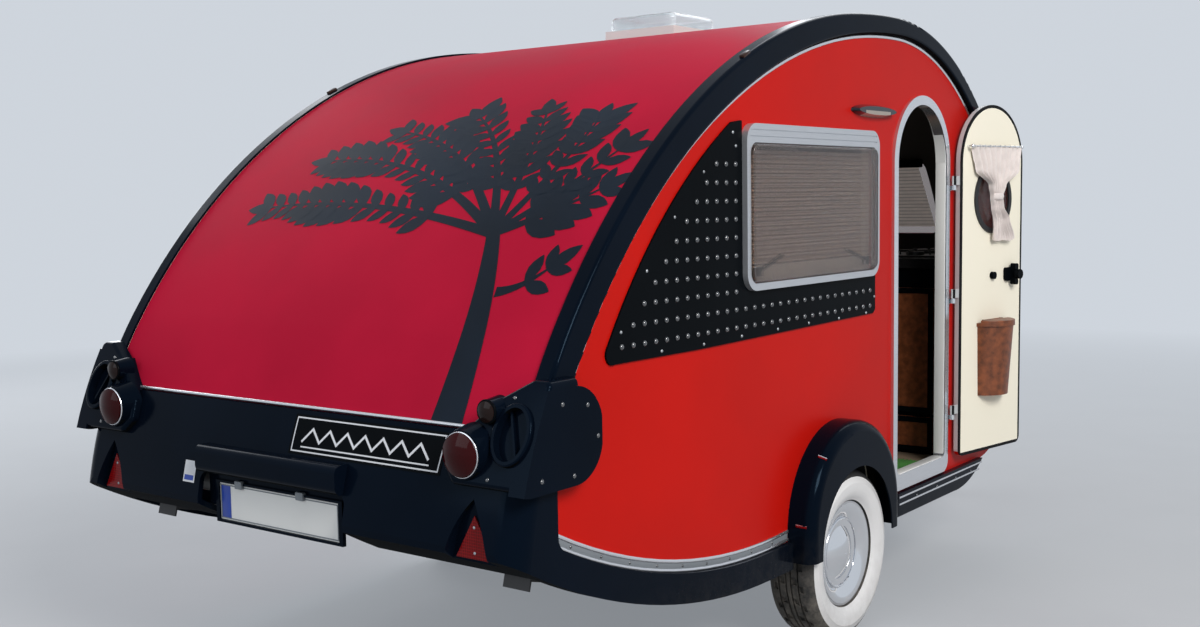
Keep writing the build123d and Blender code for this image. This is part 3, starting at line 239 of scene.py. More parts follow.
def hide_grain(tree, given):
    """Pebbles, with wider folds between them."""
    where = coordinates(tree)
    cells = node(tree, "ShaderNodeTexVoronoi", {"Vector": where, "Scale": given["Scale"]}, feature="SMOOTH_F1")
    folds = noise(tree, 38.0, 4.0)
    return {"Height": folds + cells.outputs["Distance"], "Cloud": folds}


def crossed_threads(tree, given):
    """Two waves across each other, with slubs as the cloud."""
    waves = [node(tree, "ShaderNodeTexWave", {"Vector": coordinates(tree), "Scale": given["Threads"],
                                              "Distortion": 0.6, "Detail": 1.0}, bands_direction=direction)
             for direction in ("X", "Z")]
    warp, weft = [Field(tree, wave.outputs["Fac"]) for wave in waves]
    return {"Height": warp * weft, "Cloud": noise(tree, 30.0, 3.0)}


def drawn_out(tree, given):
    """Noise that is fine across the brush's way and long along it."""
    stretch = node(tree, "ShaderNodeCombineXYZ", {0: given["Along"], 1: given["Across"], 2: given["Across"]})
    scaled = vector_node(tree, "MULTIPLY", coordinates(tree), stretch.outputs[0])[0]
    return {"Height": noise(tree, 1.0, 2.0, scaled)}


def facets(tree, given):
    """Even square facets."""
    cells = node(tree, "ShaderNodeTexVoronoi", {"Vector": coordinates(tree), "Scale": given["Scale"],
                                                "Randomness": 0.0}, distance="CHEBYCHEV")
    return {"Height": cells.outputs["Distance"], "Cloud": cells.outputs["Distance"]}


def road_dust(tree, given):
    """A patchy mask that fades with height over the ground."""
    fade = ((xyz(tree)[2] - GROUND) / given["Reach"]).ramp(0.0, 1.0, 1.0, 0.0)
    patch = noise(tree, 26.0, 6.0, Roughness=0.7).ramp(0.35, 0.7)
    return {"Mask": (fade * patch).work("MULTIPLY", given["Amount"], clamp=True)}


peel = group_of("unevenness", unevenness, Scale=60.0)
hide = group_of("hide_grain", hide_grain, Scale=420.0)
weave = group_of("weave", crossed_threads, Threads=900.0)
brushed = group_of("brushed", drawn_out, Across=900.0, Along=12.0)
prisms = group_of("prisms", facets, Scale=130.0)
dust = group_of("road_dust", road_dust, Reach=0.45, Amount=0.5)

# %% [markdown]
# One maker for all finishes: it sets the plain values, blends the colour with a darker or paler
# cloud of itself, adds dust near the ground, and gives the surface its relief.

# %% Material maker
DUST_COLOUR = (0.30, 0.27, 0.23)


def use(tree, group, **values):
    """The outputs of a shared group, placed in a material with its own values."""
    return node(tree, "ShaderNodeGroup", values, node_tree=group).outputs


def finish(name, colour, rough, metal=0.0, relief=peel, depth=0.0, cloud=0.06, dirt=0.0, coat=0.0,
           glass=0.0, sheen=0.0, ior=1.5, shine=0.5, tint=(1, 1, 1), alpha=1.0, **grain):
    """A Principled material. relief is a shared group, depth its height in millimetres."""
    made = bpy.data.materials.new(name)
    made.use_nodes = True
    tree = made.node_tree
    shader = tree.nodes["Principled BSDF"]
    for label, value in {"Metallic": metal, "IOR": ior, "Coat Weight": coat, "Coat Roughness": 0.04, "Alpha": alpha,
                         "Transmission Weight": glass, "Sheen Weight": sheen, "Specular IOR Level": shine,
                         "Specular Tint": (*tint, 1)}.items():
        shader.inputs[label].default_value = value
    effect = use(tree, relief, **grain)
    shade = Field(tree, effect["Cloud"] if "Cloud" in effect else effect["Height"])
    dark = tuple(c * (1 - 2 * cloud) for c in colour)
    light = tuple(min(1.0, c * (1 + cloud)) for c in colour)
    shown = mixed(tree, shade.ramp(0.35, 0.65), dark, light)
    roughness = shade.ramp(0.3, 0.7, rough * 0.9, min(1.0, rough * 1.12))
    if dirt:
        mask = Field(tree, use(tree, dust, Amount=dirt)["Mask"])
        shown = mixed(tree, mask, shown, DUST_COLOUR)
        roughness = roughness.work("ADD", mask * 0.5, clamp=True)
    tree.links.new(shown, shader.inputs["Base Color"])
    tree.links.new(roughness.socket, shader.inputs["Roughness"])
    if depth:
        bump = node(tree, "ShaderNodeBump", {"Strength": 1.0, "Distance": depth / 1000, "Height": effect["Height"]})
        tree.links.new(bump.outputs["Normal"], shader.inputs["Normal"])
    return made


def two_faced(made, colour, share, rough=None):
    """Paint a second colour where share is 1, such as the inner face of a panel."""
    tree = made.node_tree
    shader = tree.nodes["Principled BSDF"]
    base, roughness = shader.inputs["Base Color"], shader.inputs["Roughness"]
    tree.links.new(mixed(tree, share, base.links[0].from_socket, colour), base)
    if rough is not None:
        before = Field(tree, roughness.links[0].from_socket)
        tree.links.new((before + (rough - before) * share).socket, roughness)


# %% [markdown]
# The palette. The paint is a warm red. On the roof and tail it is a darker, bluer crimson: painted
# shade and a painted reflection of the sky in its colour. The mouldings are one gloss black with
# little shine of its own, so that it stays black, and a cool tint on that shine stands for the open
# sky. Their black is bluish: a real black with a painted reflection of the sky. The cabin's inside is
# cream leathercloth, and the cupboards brown.

# %% Palette
RED = (0.50, 0.0075, 0.0040)
# Roof and tail red: the side's red with painted shade and a painted sky reflection mixed into it.
RED_WITH_PAINTED_SKY = (0.44, 0.0085, 0.034)
# A real black with a painted reflection of the sky: the blue in its colour stands for the sky.
BLACK_WITH_PAINTED_SKY = (0.0018, 0.0040, 0.0090)
CREAM = (0.94, 0.89, 0.74)
SKY_TINT = (0.40, 0.68, 1.0)

paint_side = finish("paint_side", RED, 0.32, depth=0.02, dirt=0.2, cloud=0.03, shine=0.06, Scale=90.0)
# Roof and tail paint: its colour carries painted shade and a painted sky reflection.
paint_roof = finish("paint_roof", RED_WITH_PAINTED_SKY, 0.44, depth=0.03, dirt=0.1, cloud=0.05, shine=0.02, tint=SKY_TINT,
                    Scale=70.0)
door_paint = finish("door_paint", RED, 0.32, depth=0.02, cloud=0.03, shine=0.1, Scale=90.0)
gloss_black = finish("gloss_black", BLACK_WITH_PAINTED_SKY, 0.14, depth=0.03, dirt=0.12, cloud=0.1, shine=0.05, tint=SKY_TINT,
                     Scale=50.0)
satin_black = finish("satin_black", (0.0024, 0.0034, 0.0046), 0.28, depth=0.04, cloud=0.1, shine=0.02, Scale=320.0)
stud_black = finish("stud_black", (0.030, 0.033, 0.038), 0.14, depth=0.01, cloud=0.05, coat=1.0, shine=1.0,
                    Scale=90.0)
rubber_black = finish("rubber_black", (0.010, 0.010, 0.011), 0.62, depth=0.05, cloud=0.12, dirt=0.3, Scale=500.0)
tread_rubber = finish("tread_rubber", (0.016, 0.016, 0.016), 0.74, depth=0.08, cloud=0.2, dirt=0.7, Scale=380.0)
whitewall = finish("whitewall", (0.74, 0.74, 0.74), 0.48, depth=0.03, cloud=0.03, dirt=0.3, Scale=300.0)
silver = finish("silver", (0.55, 0.57, 0.60), 0.34, metal=0.7, relief=brushed, depth=0.008, cloud=0.04)
trim_metal = finish("trim_metal", (0.74, 0.75, 0.78), 0.2, metal=0.9, relief=brushed, depth=0.004, cloud=0.03)
chrome = finish("chrome", (0.80, 0.81, 0.83), 0.06, metal=1.0, cloud=0.02, Scale=20.0)
zinc = finish("zinc", (0.40, 0.42, 0.44), 0.46, metal=0.8, depth=0.05, cloud=0.16, dirt=0.5, Scale=140.0)
black_steel = finish("black_steel", (0.014, 0.014, 0.015), 0.42, depth=0.06, cloud=0.15, dirt=0.6, Scale=220.0)
wheel_paint = finish("wheel_paint", (0.52, 0.53, 0.55), 0.34, metal=0.6, depth=0.02, dirt=0.5, Scale=120.0)
acrylic = finish("acrylic", (0.24, 0.19, 0.175), 0.03, glass=0.9, cloud=0.02, ior=1.3, alpha=0.74, Scale=6.0)
clear_acrylic = finish("clear_acrylic", (0.85, 0.9, 0.92), 0.06, glass=0.85, cloud=0.02, ior=1.3, alpha=0.6,
                       Scale=6.0)
lens_red = finish("lens_red", (0.034, 0.0009, 0.0016), 0.08, shine=0.13, cloud=0.15, depth=0.05, Scale=80.0)
lens_dark = finish("lens_dark", (0.030, 0.011, 0.007), 0.1, shine=0.25, cloud=0.15, depth=0.05, Scale=80.0)
reflector_red = finish("reflector_red", (0.36, 0.006, 0.008), 0.15, relief=prisms, depth=0.6, cloud=0.3, shine=0.15)
awning_shade = finish("awning_shade", BLACK_WITH_PAINTED_SKY, 0.12, cloud=0.1, shine=0.3, coat=0.4, Scale=60.0)
white_plastic = finish("white_plastic", (0.72, 0.72, 0.70), 0.3, cloud=0.03, depth=0.01, Scale=160.0)
plastic_grey = finish("plastic_grey", (0.18, 0.20, 0.22), 0.4, cloud=0.06, depth=0.02, Scale=200.0)
cream_cloth = finish("cream_leathercloth", CREAM, 0.46, relief=hide, depth=0.05, cloud=0.03)
box_cloth = finish("wheel_box_cloth", CREAM, 0.46, relief=hide, depth=0.05, cloud=0.03)
brown_hide = finish("brown_leathercloth", (0.19, 0.054, 0.018), 0.42, relief=hide, depth=0.18, cloud=0.22,
                    Scale=300.0)
board = finish("floor_board", (0.2, 0.15, 0.1), 0.6, depth=0.1, cloud=0.2, Scale=160.0)
worktop = finish("worktop", (0.016, 0.016, 0.017), 0.2, depth=0.02, cloud=0.3, Scale=400.0)
curtain_cloth = finish("curtain_cloth", (0.80, 0.73, 0.70), 0.85, relief=weave, depth=0.12, cloud=0.04, sheen=0.2,
                       Threads=520.0)
seat_cloth = finish("seat_cloth", (0.40, 0.33, 0.26), 0.88, relief=weave, depth=0.2, cloud=0.12, sheen=0.25,
                    Threads=330.0)
blind_cloth = finish("blind_cloth", (0.88, 0.76, 0.62), 0.8, relief=weave, depth=0.05, cloud=0.04, Threads=700.0)
lit_blind = finish("lit_blind", (0.93, 0.82, 0.68), 0.9, relief=weave, cloud=0.04, glass=0.6, ior=1.05, Threads=700.0)
turf = finish("turf", (0.07, 0.27, 0.045), 0.9, cloud=0.35, depth=0.4, Scale=700.0)
plate_white = finish("plate_white", (0.74, 0.74, 0.72), 0.3, cloud=0.03, dirt=0.2, depth=0.01, Scale=90.0)
plate_blue = finish("plate_blue", (0.01, 0.05, 0.35), 0.3, cloud=0.05, dirt=0.2, Scale=90.0)
decal_ink = finish("decal_ink", (0.006, 0.012, 0.022), 0.42, cloud=0.15, depth=0.02, shine=0.08, Scale=120.0)
sticker_white = finish("sticker_white", (0.66, 0.67, 0.70), 0.35, cloud=0.04, Scale=120.0)

# %% [markdown]
# The floor is a plain pale disc, wide enough to reach the horizon in every view. Part of what the
# camera sees there is a flat pale tone, which takes over further out, so the floor meets the
# background without a line and still carries the shadow.

# %% Floor
bm = bmesh.new()
bmesh.ops.create_circle(bm, cap_ends=True, segments=96, radius=60)
floor_mesh = bpy.data.meshes.new("floor")
bm.to_mesh(floor_mesh)
bm.free()
floor_mesh.transform(Matrix.Translation((AXLE.x, 0, GROUND - 0.0005)))
floor = bpy.data.objects.new("floor", floor_mesh)
bpy.context.scene.collection.objects.link(floor)

floor_finish = finish("pale_floor", (0.45, 0.455, 0.46), 0.9, cloud=0.01, shine=0.0, Scale=8.0)
floor_mesh.materials.append(floor_finish)
tree = floor_finish.node_tree
glow = node(tree, "ShaderNodeEmission", {"Color": SKY_COLOUR, "Strength": SKY_SEEN})
away = Field(tree, vector_node(tree, "DISTANCE", coordinates(tree), (AXLE.x, 0, GROUND))["Value"])
share = seen_share(tree) * away.ramp(3.0, 11.0, 0.36, 1.0)
blend_in = node(tree, "ShaderNodeMixShader", {0: share, 1: tree.nodes["Principled BSDF"].outputs[0],
                                              2: glow.outputs[0]})
tree.links.new(blend_in.outputs[0], tree.nodes["Material Output"].inputs["Surface"])

# %% [markdown]
# Panels that are painted outside and lined inside need both finishes on one solid. Points of a
# wall that lie deeper than its skin are lining. On the roof the normal tells: it points away from
# the cabin's middle on the skin, and towards it on the lining. The lining under the roof is painted
# a dark grey-brown: painted shade for the dim inside of the cabin.

# %% Linings
WALL_FACE = 0.905
LINING_Y = WALL_FACE - 0.027
CABIN_MIDDLE = at(0.2, 0, 1.15)
CEILING_PAINTED_SHADE = (0.085, 0.072, 0.062)

two_faced(paint_side, CREAM, abs(xyz(paint_side.node_tree)[1]) < LINING_Y, 0.5)
tree = paint_roof.node_tree
outward = vector_node(tree, "SUBTRACT", coordinates(tree), CABIN_MIDDLE)[0]
facing = Field(tree, vector_node(tree, "DOT_PRODUCT", outward, coordinates(tree, "Normal"))["Value"])
# Painted shade: the ceiling lining is painted dark for the dim inside of the cabin.
two_faced(paint_roof, CEILING_PAINTED_SHADE, facing < 0.0, 0.7)

# %% [markdown]
# The black mouldings are polished only where they are seen, so faces that look down are dull.
# Black covers the rim and underside of the floor pan, the hollow of the wheel boxes, and the wall
# behind the wings. The last two lie inside an arch over the axle.

# %% Undersides and black faces under the body
UNDERBODY_BLACK = (0.006, 0.006, 0.006)
WING_HALF = 0.333
BOX_HALF = 0.3165
BOX_SIDE = 0.7625
WING_SPRING = GROUND + 0.427


def arch_reach(along, high, spring):
    """How far a point is from the middle line of a round arch, or from its centre above the spring."""
    return (along ** 2.0 + (high - spring).larger_of(0.0) ** 2.0).work("SQRT")


# Faces that look down are also a neutral black, without the painted sky blue.
for made in (gloss_black, satin_black):
    two_faced(made, (0.003, 0.003, 0.003), xyz(made.node_tree, "Normal")[2] < -0.6, 0.95)
# Plain black on the floor pan where it does not face up, and inside the arches over the axle.
two_faced(board, UNDERBODY_BLACK, xyz(board.node_tree, "Normal")[2] < 0.5, 0.8)
for made, half, side in ((paint_side, WING_HALF, LINING_Y), (box_cloth, BOX_HALF, BOX_SIDE),
                         (box_cloth, WING_HALF, LINING_Y - 0.001)):
    x, y, z = xyz(made.node_tree)
    inside = arch_reach(abs(x - AXLE.x), z, WING_SPRING) < half
    two_faced(made, UNDERBODY_BLACK, inside * (abs(y) > side), 0.8)

# %% [markdown]
# The blinds get a dark line painted at every fold, where two pleats meet: painted shade in the
# creases. Height alone gives it: the place within one pleat's pitch runs from 0 to 1, and the line
# is where it is near the end.

# %% Painted shade in the blind folds
FOLD_PITCH = 0.0150
for made in (blind_cloth, lit_blind):
    within = (xyz(made.node_tree)[2] / FOLD_PITCH).work("FRACT")
    # Painted shade: a darker colour in the crease of each fold.
    two_faced(made, (0.24, 0.18, 0.14), (within > 0.72) * 0.75)

# %% [markdown]
# The door stands open, so its two faces are told apart in the door's own plane: how far a point
# lies from the hinge line along the leaf and through it. The inner face is cream with a black
# rubber seal round its edge. The edge of the leaf is bare metal.

# %% Door leaf
HINGE_X = 0.978
HINGE = at(HINGE_X, -0.927, 0)
OPEN = radians(170)
ALONG = Vector((cos(OPEN), sin(OPEN), 0))
INWARD = Vector((-sin(OPEN), cos(OPEN), 0))
LEAF_MIDDLE = 0.7065
LEAF_HALF = 0.2345
LEAF_LOW = 0.465
ARCH_Z = 1.6505
LINING_AT, SEAL_AT = 0.0085, 0.003
SEAL_WIDTH, EDGE_WIDTH = 0.013, 0.002


def on_door(x, inward, z):
    """A point of the shut door, x and z as on the wall and inward from the hinge, where it is now."""
    place = HINGE + ALONG * (x - HINGE_X) + INWARD * inward
    return Vector((place.x, place.y, GROUND + z))


tree = door_paint.node_tree
from_hinge = vector_node(tree, "SUBTRACT", coordinates(tree), HINGE)[0]
across, through = [Field(tree, vector_node(tree, "DOT_PRODUCT", from_hinge, way)["Value"]) for way in (ALONG, INWARD)]
high = xyz(tree)[2] - GROUND
reach = arch_reach(abs(across + (HINGE_X - LEAF_MIDDLE)), high, ARCH_Z)
to_edge = (LEAF_HALF - reach).smaller_of(high - LEAF_LOW)
two_faced(door_paint, CREAM, through > LINING_AT, 0.45)
two_faced(door_paint, (0.008, 0.008, 0.009), (through > SEAL_AT) * (to_edge < SEAL_WIDTH), 0.6)
two_faced(door_paint, (0.50, 0.51, 0.52), (to_edge < EDGE_WIDTH) * (through < SEAL_AT + 0.001), 0.35)

# %% [markdown]
# The tail lamps are one node: the two large lenses are red, and the small ones above them nearly
# black. Height tells them apart. The lamp over the door is a dark shade with a pale lens along the
# middle of its lower edge.

# %% Lamp glasses
LENS_PARTING = GROUND + 0.965
two_faced(lens_red, (0.014, 0.007, 0.006), xyz(lens_red.node_tree)[2] > LENS_PARTING, 0.08)

low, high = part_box("awning_lamp")
x, y, z = xyz(awning_shade.node_tree)
in_length = abs(x - (low.x + high.x) / 2) < 0.30 * (high.x - low.x)
in_height = z < low.z + 0.48 * (high.z - low.z)
two_faced(awning_shade, (0.30, 0.26, 0.22), in_length * in_height, 0.2)

# %% [markdown]
# Each CAD node gets one finish. The table reads like a paint list: a finish, and the names of the
# nodes that wear it. Nodes that are swapped for a dressed piece later are listed too.

# %% Finishes of the CAD nodes
DRESS = {
    paint_side: "wall_left wall_right",
    paint_roof: "roof_skin",
    door_paint: "door_leaf",
    board: "floor_pan",
    gloss_black: "edge_mouldings wings lamp_pods rear_handle rear_bumper front_skirts plate_carrier",
    satin_black: "stud_plates nose_window_frame door_latch kitchen_cabinet",
    silver: "side_window_frames",
    white_plastic: "roof_hatch_frame",
    acrylic: "side_window_panes nose_window_pane door_porthole_pane",
    clear_acrylic: "roof_hatch_dome",
    trim_metal: "door_frame",
    rubber_black: "door_porthole_ring jockey_wheel",
    plate_white: "number_plate",
    lens_red: "tail_lenses",
    reflector_red: "reflector_panels",
    awning_shade: "awning_lamp",
    zinc: "chassis axle jockey_tube jockey_stem jockey_fork",
    black_steel: "coupling handbrake_lever hob steady_brackets steady_front_left steady_front_right "
                 "steady_rear_left steady_rear_right",
    box_cloth: "wheel_boxes",
    brown_hide: "kitchen_fronts seat_base door_bin door_bin_lid",
    worktop: "kitchen_worktop",
    chrome: "hub_cap_left hub_cap_right door_curtain_rod door_hinge_posts",
    wheel_paint: "rim_left rim_right",
    tread_rubber: "tyre_left tyre_right",
    seat_cloth: "cushion_left cushion_right cushion_rear",
    curtain_cloth: "door_curtain",
}
for made, names in DRESS.items():
    for name in names.split():
        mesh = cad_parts[name].data
        mesh.materials.clear()
        mesh.materials.append(made)
left_over = set(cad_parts) - set(" ".join(DRESS.values()).split())
print("nodes still without a finish of their own:", sorted(left_over))

# %% [markdown]
# From here on, the trailer gets pieces that the CAD model leaves out. Each starts from a simple
# shape that an operator makes, and each rides on the body that carries it. A few helpers cover
# the shapes that come up again and again: a block, a rod, a hoop, a dome and a carried section.

# %% Piece helpers


def verts_in(made):
    """The vertices among what an operator made."""
    return [part for part in made if isinstance(part, bmesh.types.BMVert)]


def edges_of(verts):
    """The edges that meet at new vertices."""
    return list({edge for vert in verts for edge in vert.link_edges})


def turned_to(way):
    """A turn that points z the given way."""
    return Vector(way).to_track_quat("Z", "Y").to_matrix().to_4x4()


def as_piece(name, bm, body, material, sharp=40):
    """Turn a finished bmesh into a piece that rides on a body."""
    bmesh.ops.remove_doubles(bm, verts=bm.verts, dist=1e-5)
    bmesh.ops.recalc_face_normals(bm, faces=bm.faces)
    mesh = bpy.data.meshes.new(name)
    bm.to_mesh(mesh)
    bm.free()
    mesh.materials.append(material)
    mesh.polygons.foreach_set("use_smooth", [True] * len(mesh.polygons))
    mesh.set_sharp_from_angle(angle=radians(sharp))
    piece = bpy.data.objects.new(name, mesh)
    bpy.context.scene.collection.objects.link(piece)
    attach(piece, body)
    return piece


def bar(bm, low, high, rounding=0.0):
    """A block between two corners, its edges rounded."""
    low, high = Vector(low), Vector(high)
    place = Matrix.Translation((low + high) / 2) @ Matrix.Diagonal((*(high - low), 1))
    made = bmesh.ops.create_cube(bm, size=1.0, matrix=place)["verts"]
    if rounding:
        made = bmesh.ops.bevel(bm, geom=edges_of(made), offset=rounding, segments=2, profile=0.5,
                               affect="EDGES", material=-1)["verts"]
    return made


def rod(bm, start, end, radius, tip=None, segments=16):
    """A round bar or cone from start to end."""
    start, end = Vector(start), Vector(end)
    place = Matrix.Translation((start + end) / 2) @ turned_to(end - start)
    bmesh.ops.create_cone(bm, cap_ends=True, segments=segments, radius1=radius,
                          radius2=radius if tip is None else tip, depth=(end - start).length, matrix=place)


def hoop(bm, centre, normal, radius, tube, steps=48):
    """A ring of round section."""
    centre, normal = Vector(centre), Vector(normal).normalized()
    side = normal.orthogonal().normalized()
    turn = Matrix((side, normal, side.cross(normal))).transposed().to_4x4()
    made = bmesh.ops.create_circle(bm, segments=8, radius=tube,
                                   matrix=Matrix.Translation(centre + side * radius) @ turn)["verts"]
    bmesh.ops.spin(bm, geom=made + edges_of(made), cent=centre, axis=normal, angle=2 * pi, steps=steps,
                   use_merge=True)


def dome(bm, place, normal, radius, height, around=10, rings=6):
    """A low dome such as a stud or screw head, half of it sunk in what it stands on."""
    shape = Matrix.Diagonal((radius, radius, height, 1))
    bmesh.ops.create_uvsphere(bm, u_segments=around, v_segments=rings, radius=1.0,
                              matrix=Matrix.Translation(place) @ turned_to(normal) @ shape)


def mirrored(bm):
    """Add the same shapes on the other side of the trailer."""
    copy = bmesh.ops.duplicate(bm, geom=bm.verts[:] + bm.edges[:] + bm.faces[:])["geom"]
    bmesh.ops.scale(bm, vec=(1, -1, 1), verts=verts_in(copy))
    bmesh.ops.reverse_faces(bm, faces=[part for part in copy if isinstance(part, bmesh.types.BMFace)])


def grid(bm, across, along):
    """A grid. Gives each vertex with how far it lies across and along, both from 0 to 1."""
    made = bmesh.ops.create_grid(bm, x_segments=across, y_segments=along, size=0.5)["verts"]
    return [(vert, vert.co.x + 0.5, vert.co.y + 0.5) for vert in made]


def screws(name, places, material, radius, height, facing=(0, -1, 0)):
    """A piece of round heads at places on the right side, and on the left side too."""
    bm = bmesh.new()
    for place in places:
        dome(bm, place, facing, radius, height)
    mirrored(bm)
    as_piece(name, bm, "base", material)


# %% [markdown]
# Tyres. The CAD tyre has the right outline, but a real one has rounded shoulders, a raised white
# band on its side and grooves in its tread. A section is spun round the axle, and then some of
# the tread's faces are sunk to cut slanted grooves between the blocks.

# %% Tyres
TYRE_RADIUS = 0.295
WHEEL_Y = 0.8825
TYRE_SIDE = ((0.166, 0.052), (0.184, 0.0605), (0.186, 0.070), (0.197, 0.0785), (0.200, 0.0815), (0.222, 0.0905),
             (0.247, 0.0915), (0.250, 0.0890), (0.268, 0.0845), (0.281, 0.0765), (0.2895, 0.0655), (0.2935, 0.0545))
TREAD = ((0.2945, 0.040), (0.2865, 0.0385), (0.2865, 0.0335), (0.295, 0.032), (0.295, 0.013),
         (0.2865, 0.0115), (0.2865, 0.0065), (0.295, 0.005))
WHITE_BAND = (0.1855, 0.2665)
TREAD_STEPS = 72
BLOCK_REACH = 0.2925
GROOVE_WALL, GROOVE_DEPTH = 0.0022, 0.007
SIDES = ((-1, "right"), (1, "left"))

for side, name in SIDES:
    axle_line = at(0, side * WHEEL_Y, TYRE_RADIUS)
    half = TYRE_SIDE + TREAD
    section = [(r, y) for r, y in half] + [(r, -y) for r, y in half[::-1]]
    bm = bmesh.new()
    verts = [bm.verts.new(axle_line + Vector((0, y, r))) for r, y in section]
    edges = [bm.edges.new(pair) for pair in zip(verts, verts[1:])]
    bmesh.ops.spin(bm, geom=verts + edges, cent=axle_line, axis=(0, 1, 0), angle=2 * pi, steps=TREAD_STEPS,
                   use_merge=True)
    bmesh.ops.recalc_face_normals(bm, faces=bm.faces)
    sunk = []
    for face in bm.faces:
        middle = face.calc_center_median() - axle_line
        sector = int(atan2(middle.x, middle.z) % (2 * pi) / (2 * pi / TREAD_STEPS))
        first = 0 if abs(middle.y) > 0.03 else 1
        if middle.xz.length > BLOCK_REACH and 0.004 < abs(middle.y) < 0.06 and sector % 3 == first:
            sunk.append(face)
    bmesh.ops.inset_individual(bm, faces=sunk, thickness=GROOVE_WALL, depth=-GROOVE_DEPTH)
    tyre = as_piece(f"tyre_dressed_{name}", bm, f"wheel_{name}", tread_rubber, sharp=32)
    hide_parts(f"tyre_{name}")
    tyre.data.materials.append(whitewall)
    for polygon in tyre.data.polygons:
        middle = polygon.center - axle_line
        polygon.material_index = int(WHITE_BAND[0] < middle.xz.length < WHITE_BAND[1] and side * middle.y > 0.05)
    print(tyre.name, "faces:", len(tyre.data.polygons), "grooves:", len(sunk))

# %% [markdown]
# Hub caps. The CAD dish stays. Real ones have turned steps, which catch the light as thin bright
# circles, so two hoops go on each.

# %% Hub cap rings
CAP_RINGS = ((0.030, 0.152, 0.0045), (0.020, 0.118, 0.0030))  # depth behind the face, radius, thickness
for side, name in SIDES:
    low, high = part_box(f"hub_cap_{name}")
    face_y = low.y if side < 0 else high.y
    bm = bmesh.new()
    for behind, radius, thick in CAP_RINGS:
        hoop(bm, (AXLE.x, face_y - side * behind, GROUND + TYRE_RADIUS), (0, side, 0), radius, thick)
    as_piece(f"hub_cap_rings_{name}", bm, f"wheel_{name}", chrome)

# %% [markdown]
# A silver bead runs along the inner edge of the black moulding on each side. It follows the same
# arcs as the moulding: each arc starts where the last one ends and turns about its own centre.
# A small oval section is carried along them with the spin operator.

# %% Side beads
BEAD_CROWN = (0.480, 2.101)
BEAD_REAR = ((2.665, 7.2), (2.380, 23.7), (2.010, 32.0))
BEAD_FRONT = ((1.100, 40.0), (1.400, 50.0))
BEAD_HALF, BEAD_OUT = 0.0065, 0.004
BEAD_Y = -WALL_FACE - 0.001
BEAD_DROP = 0.151


def arc_chain(crown, arcs, sense, inset):
    """Centre and turn of each arc from the crown, to the rear for sense 1 and the front for -1."""
    x, z = crown[0], crown[1] - inset
    turned = 0.0
    chain = []
    for radius, angle in arcs:
        radius -= inset
        x += radius * sense * sin(radians(turned))
        z -= radius * cos(radians(turned))
        chain.append(((x, z), sense * radians(angle)))
        turned += angle
        x -= radius * sense * sin(radians(turned))
        z += radius * cos(radians(turned))
    return chain


def oval(bm, place, along, half_up, half_out):
    """A closed oval section across the given direction, as a list of edges."""
    along = Vector(along).normalized()
    up = Vector((0, 1, 0)).cross(along).normalized()
    turn = Matrix((up, Vector((0, 1, 0)), along)).transposed().to_4x4()
    place = Matrix.Translation(place) @ turn @ Matrix.Diagonal((half_up, half_out, 1, 1))
    return edges_of(bmesh.ops.create_circle(bm, segments=10, radius=1.0, matrix=place)["verts"])


def carry(bm, section, y, chain, straight=(0, 0, 0)):
    """Carry a section along arcs in a plane of constant y, add a straight end and close it."""
    for (x, z), angle in chain:
        verts = list({vert for edge in section for vert in edge.verts})
        steps = max(3, round(abs(angle) / radians(2)))
        made = bmesh.ops.spin(bm, geom=section + verts, cent=at(x, y, z), axis=(0, -1, 0), angle=angle,
                              steps=steps)
        section = [part for part in made["geom_last"] if isinstance(part, bmesh.types.BMEdge)]
    if Vector(straight).length:
        made = bmesh.ops.extrude_edge_only(bm, edges=section)["geom"]
        bmesh.ops.translate(bm, vec=straight, verts=verts_in(made))
        section = [part for part in made if isinstance(part, bmesh.types.BMEdge)
                   and all(vert in made for vert in part.verts)]
    bmesh.ops.edgeloop_fill(bm, edges=section)


bm = bmesh.new()
for arcs, sense, drop in ((BEAD_REAR, 1, 0.0), (BEAD_FRONT, -1, BEAD_DROP)):
    start = oval(bm, at(BEAD_CROWN[0], BEAD_Y, BEAD_CROWN[1] - BEAD_HALF), (sense, 0, 0), BEAD_HALF, BEAD_OUT)
    carry(bm, start, BEAD_Y, arc_chain(BEAD_CROWN, arcs, sense, BEAD_HALF), (0, 0, -drop))
mirrored(bm)
beads = as_piece("side_beads", bm, "base", trim_metal)
print("bead faces:", len(beads.data.polygons))

# %% [markdown]
# Below the bead, a metal profile follows the upswept edge of the wall from the wing to the lamp
# housing. It is two bright lips with a grey groove between them, and dark screws sit in the groove.
# The front skirt has two bright lines.

# %% Lower trims
SWEEP_CENTRE = (-0.489, 2.772)
SWEEP_RADIUS = 2.370
SWEEP_FROM, SWEEP_TO = -0.340, -1.545
LIP_LINES, GROOVE_LINE = (0.0045, 0.0315), 0.018
TRIM_Y = -WALL_FACE - 0.002
OVERRUN = 1.03
SKIRT_Y = -0.925
SKIRT_LINES = ((0.395, 1.300), (0.369, 1.272))  # height and front end


def on_sweep(x, above=0.0):
    """Height of the upswept edge at x, or of a line that runs above it."""
    return SWEEP_CENTRE[1] - sqrt((SWEEP_RADIUS - above) ** 2 - (x - SWEEP_CENTRE[0]) ** 2)


def sweep_line(bm, above, y, half_up, half_out):
    """A profile along the upswept edge, which runs on a little into the lamp housing."""
    first, last = [(x - SWEEP_CENTRE[0]) / (SWEEP_RADIUS - above) for x in (SWEEP_FROM, SWEEP_TO)]
    start = oval(bm, at(SWEEP_FROM, y, on_sweep(SWEEP_FROM, above)), (-1, 0, 0), half_up, half_out)
    carry(bm, start, y, [(SWEEP_CENTRE, (last - first) * OVERRUN)])


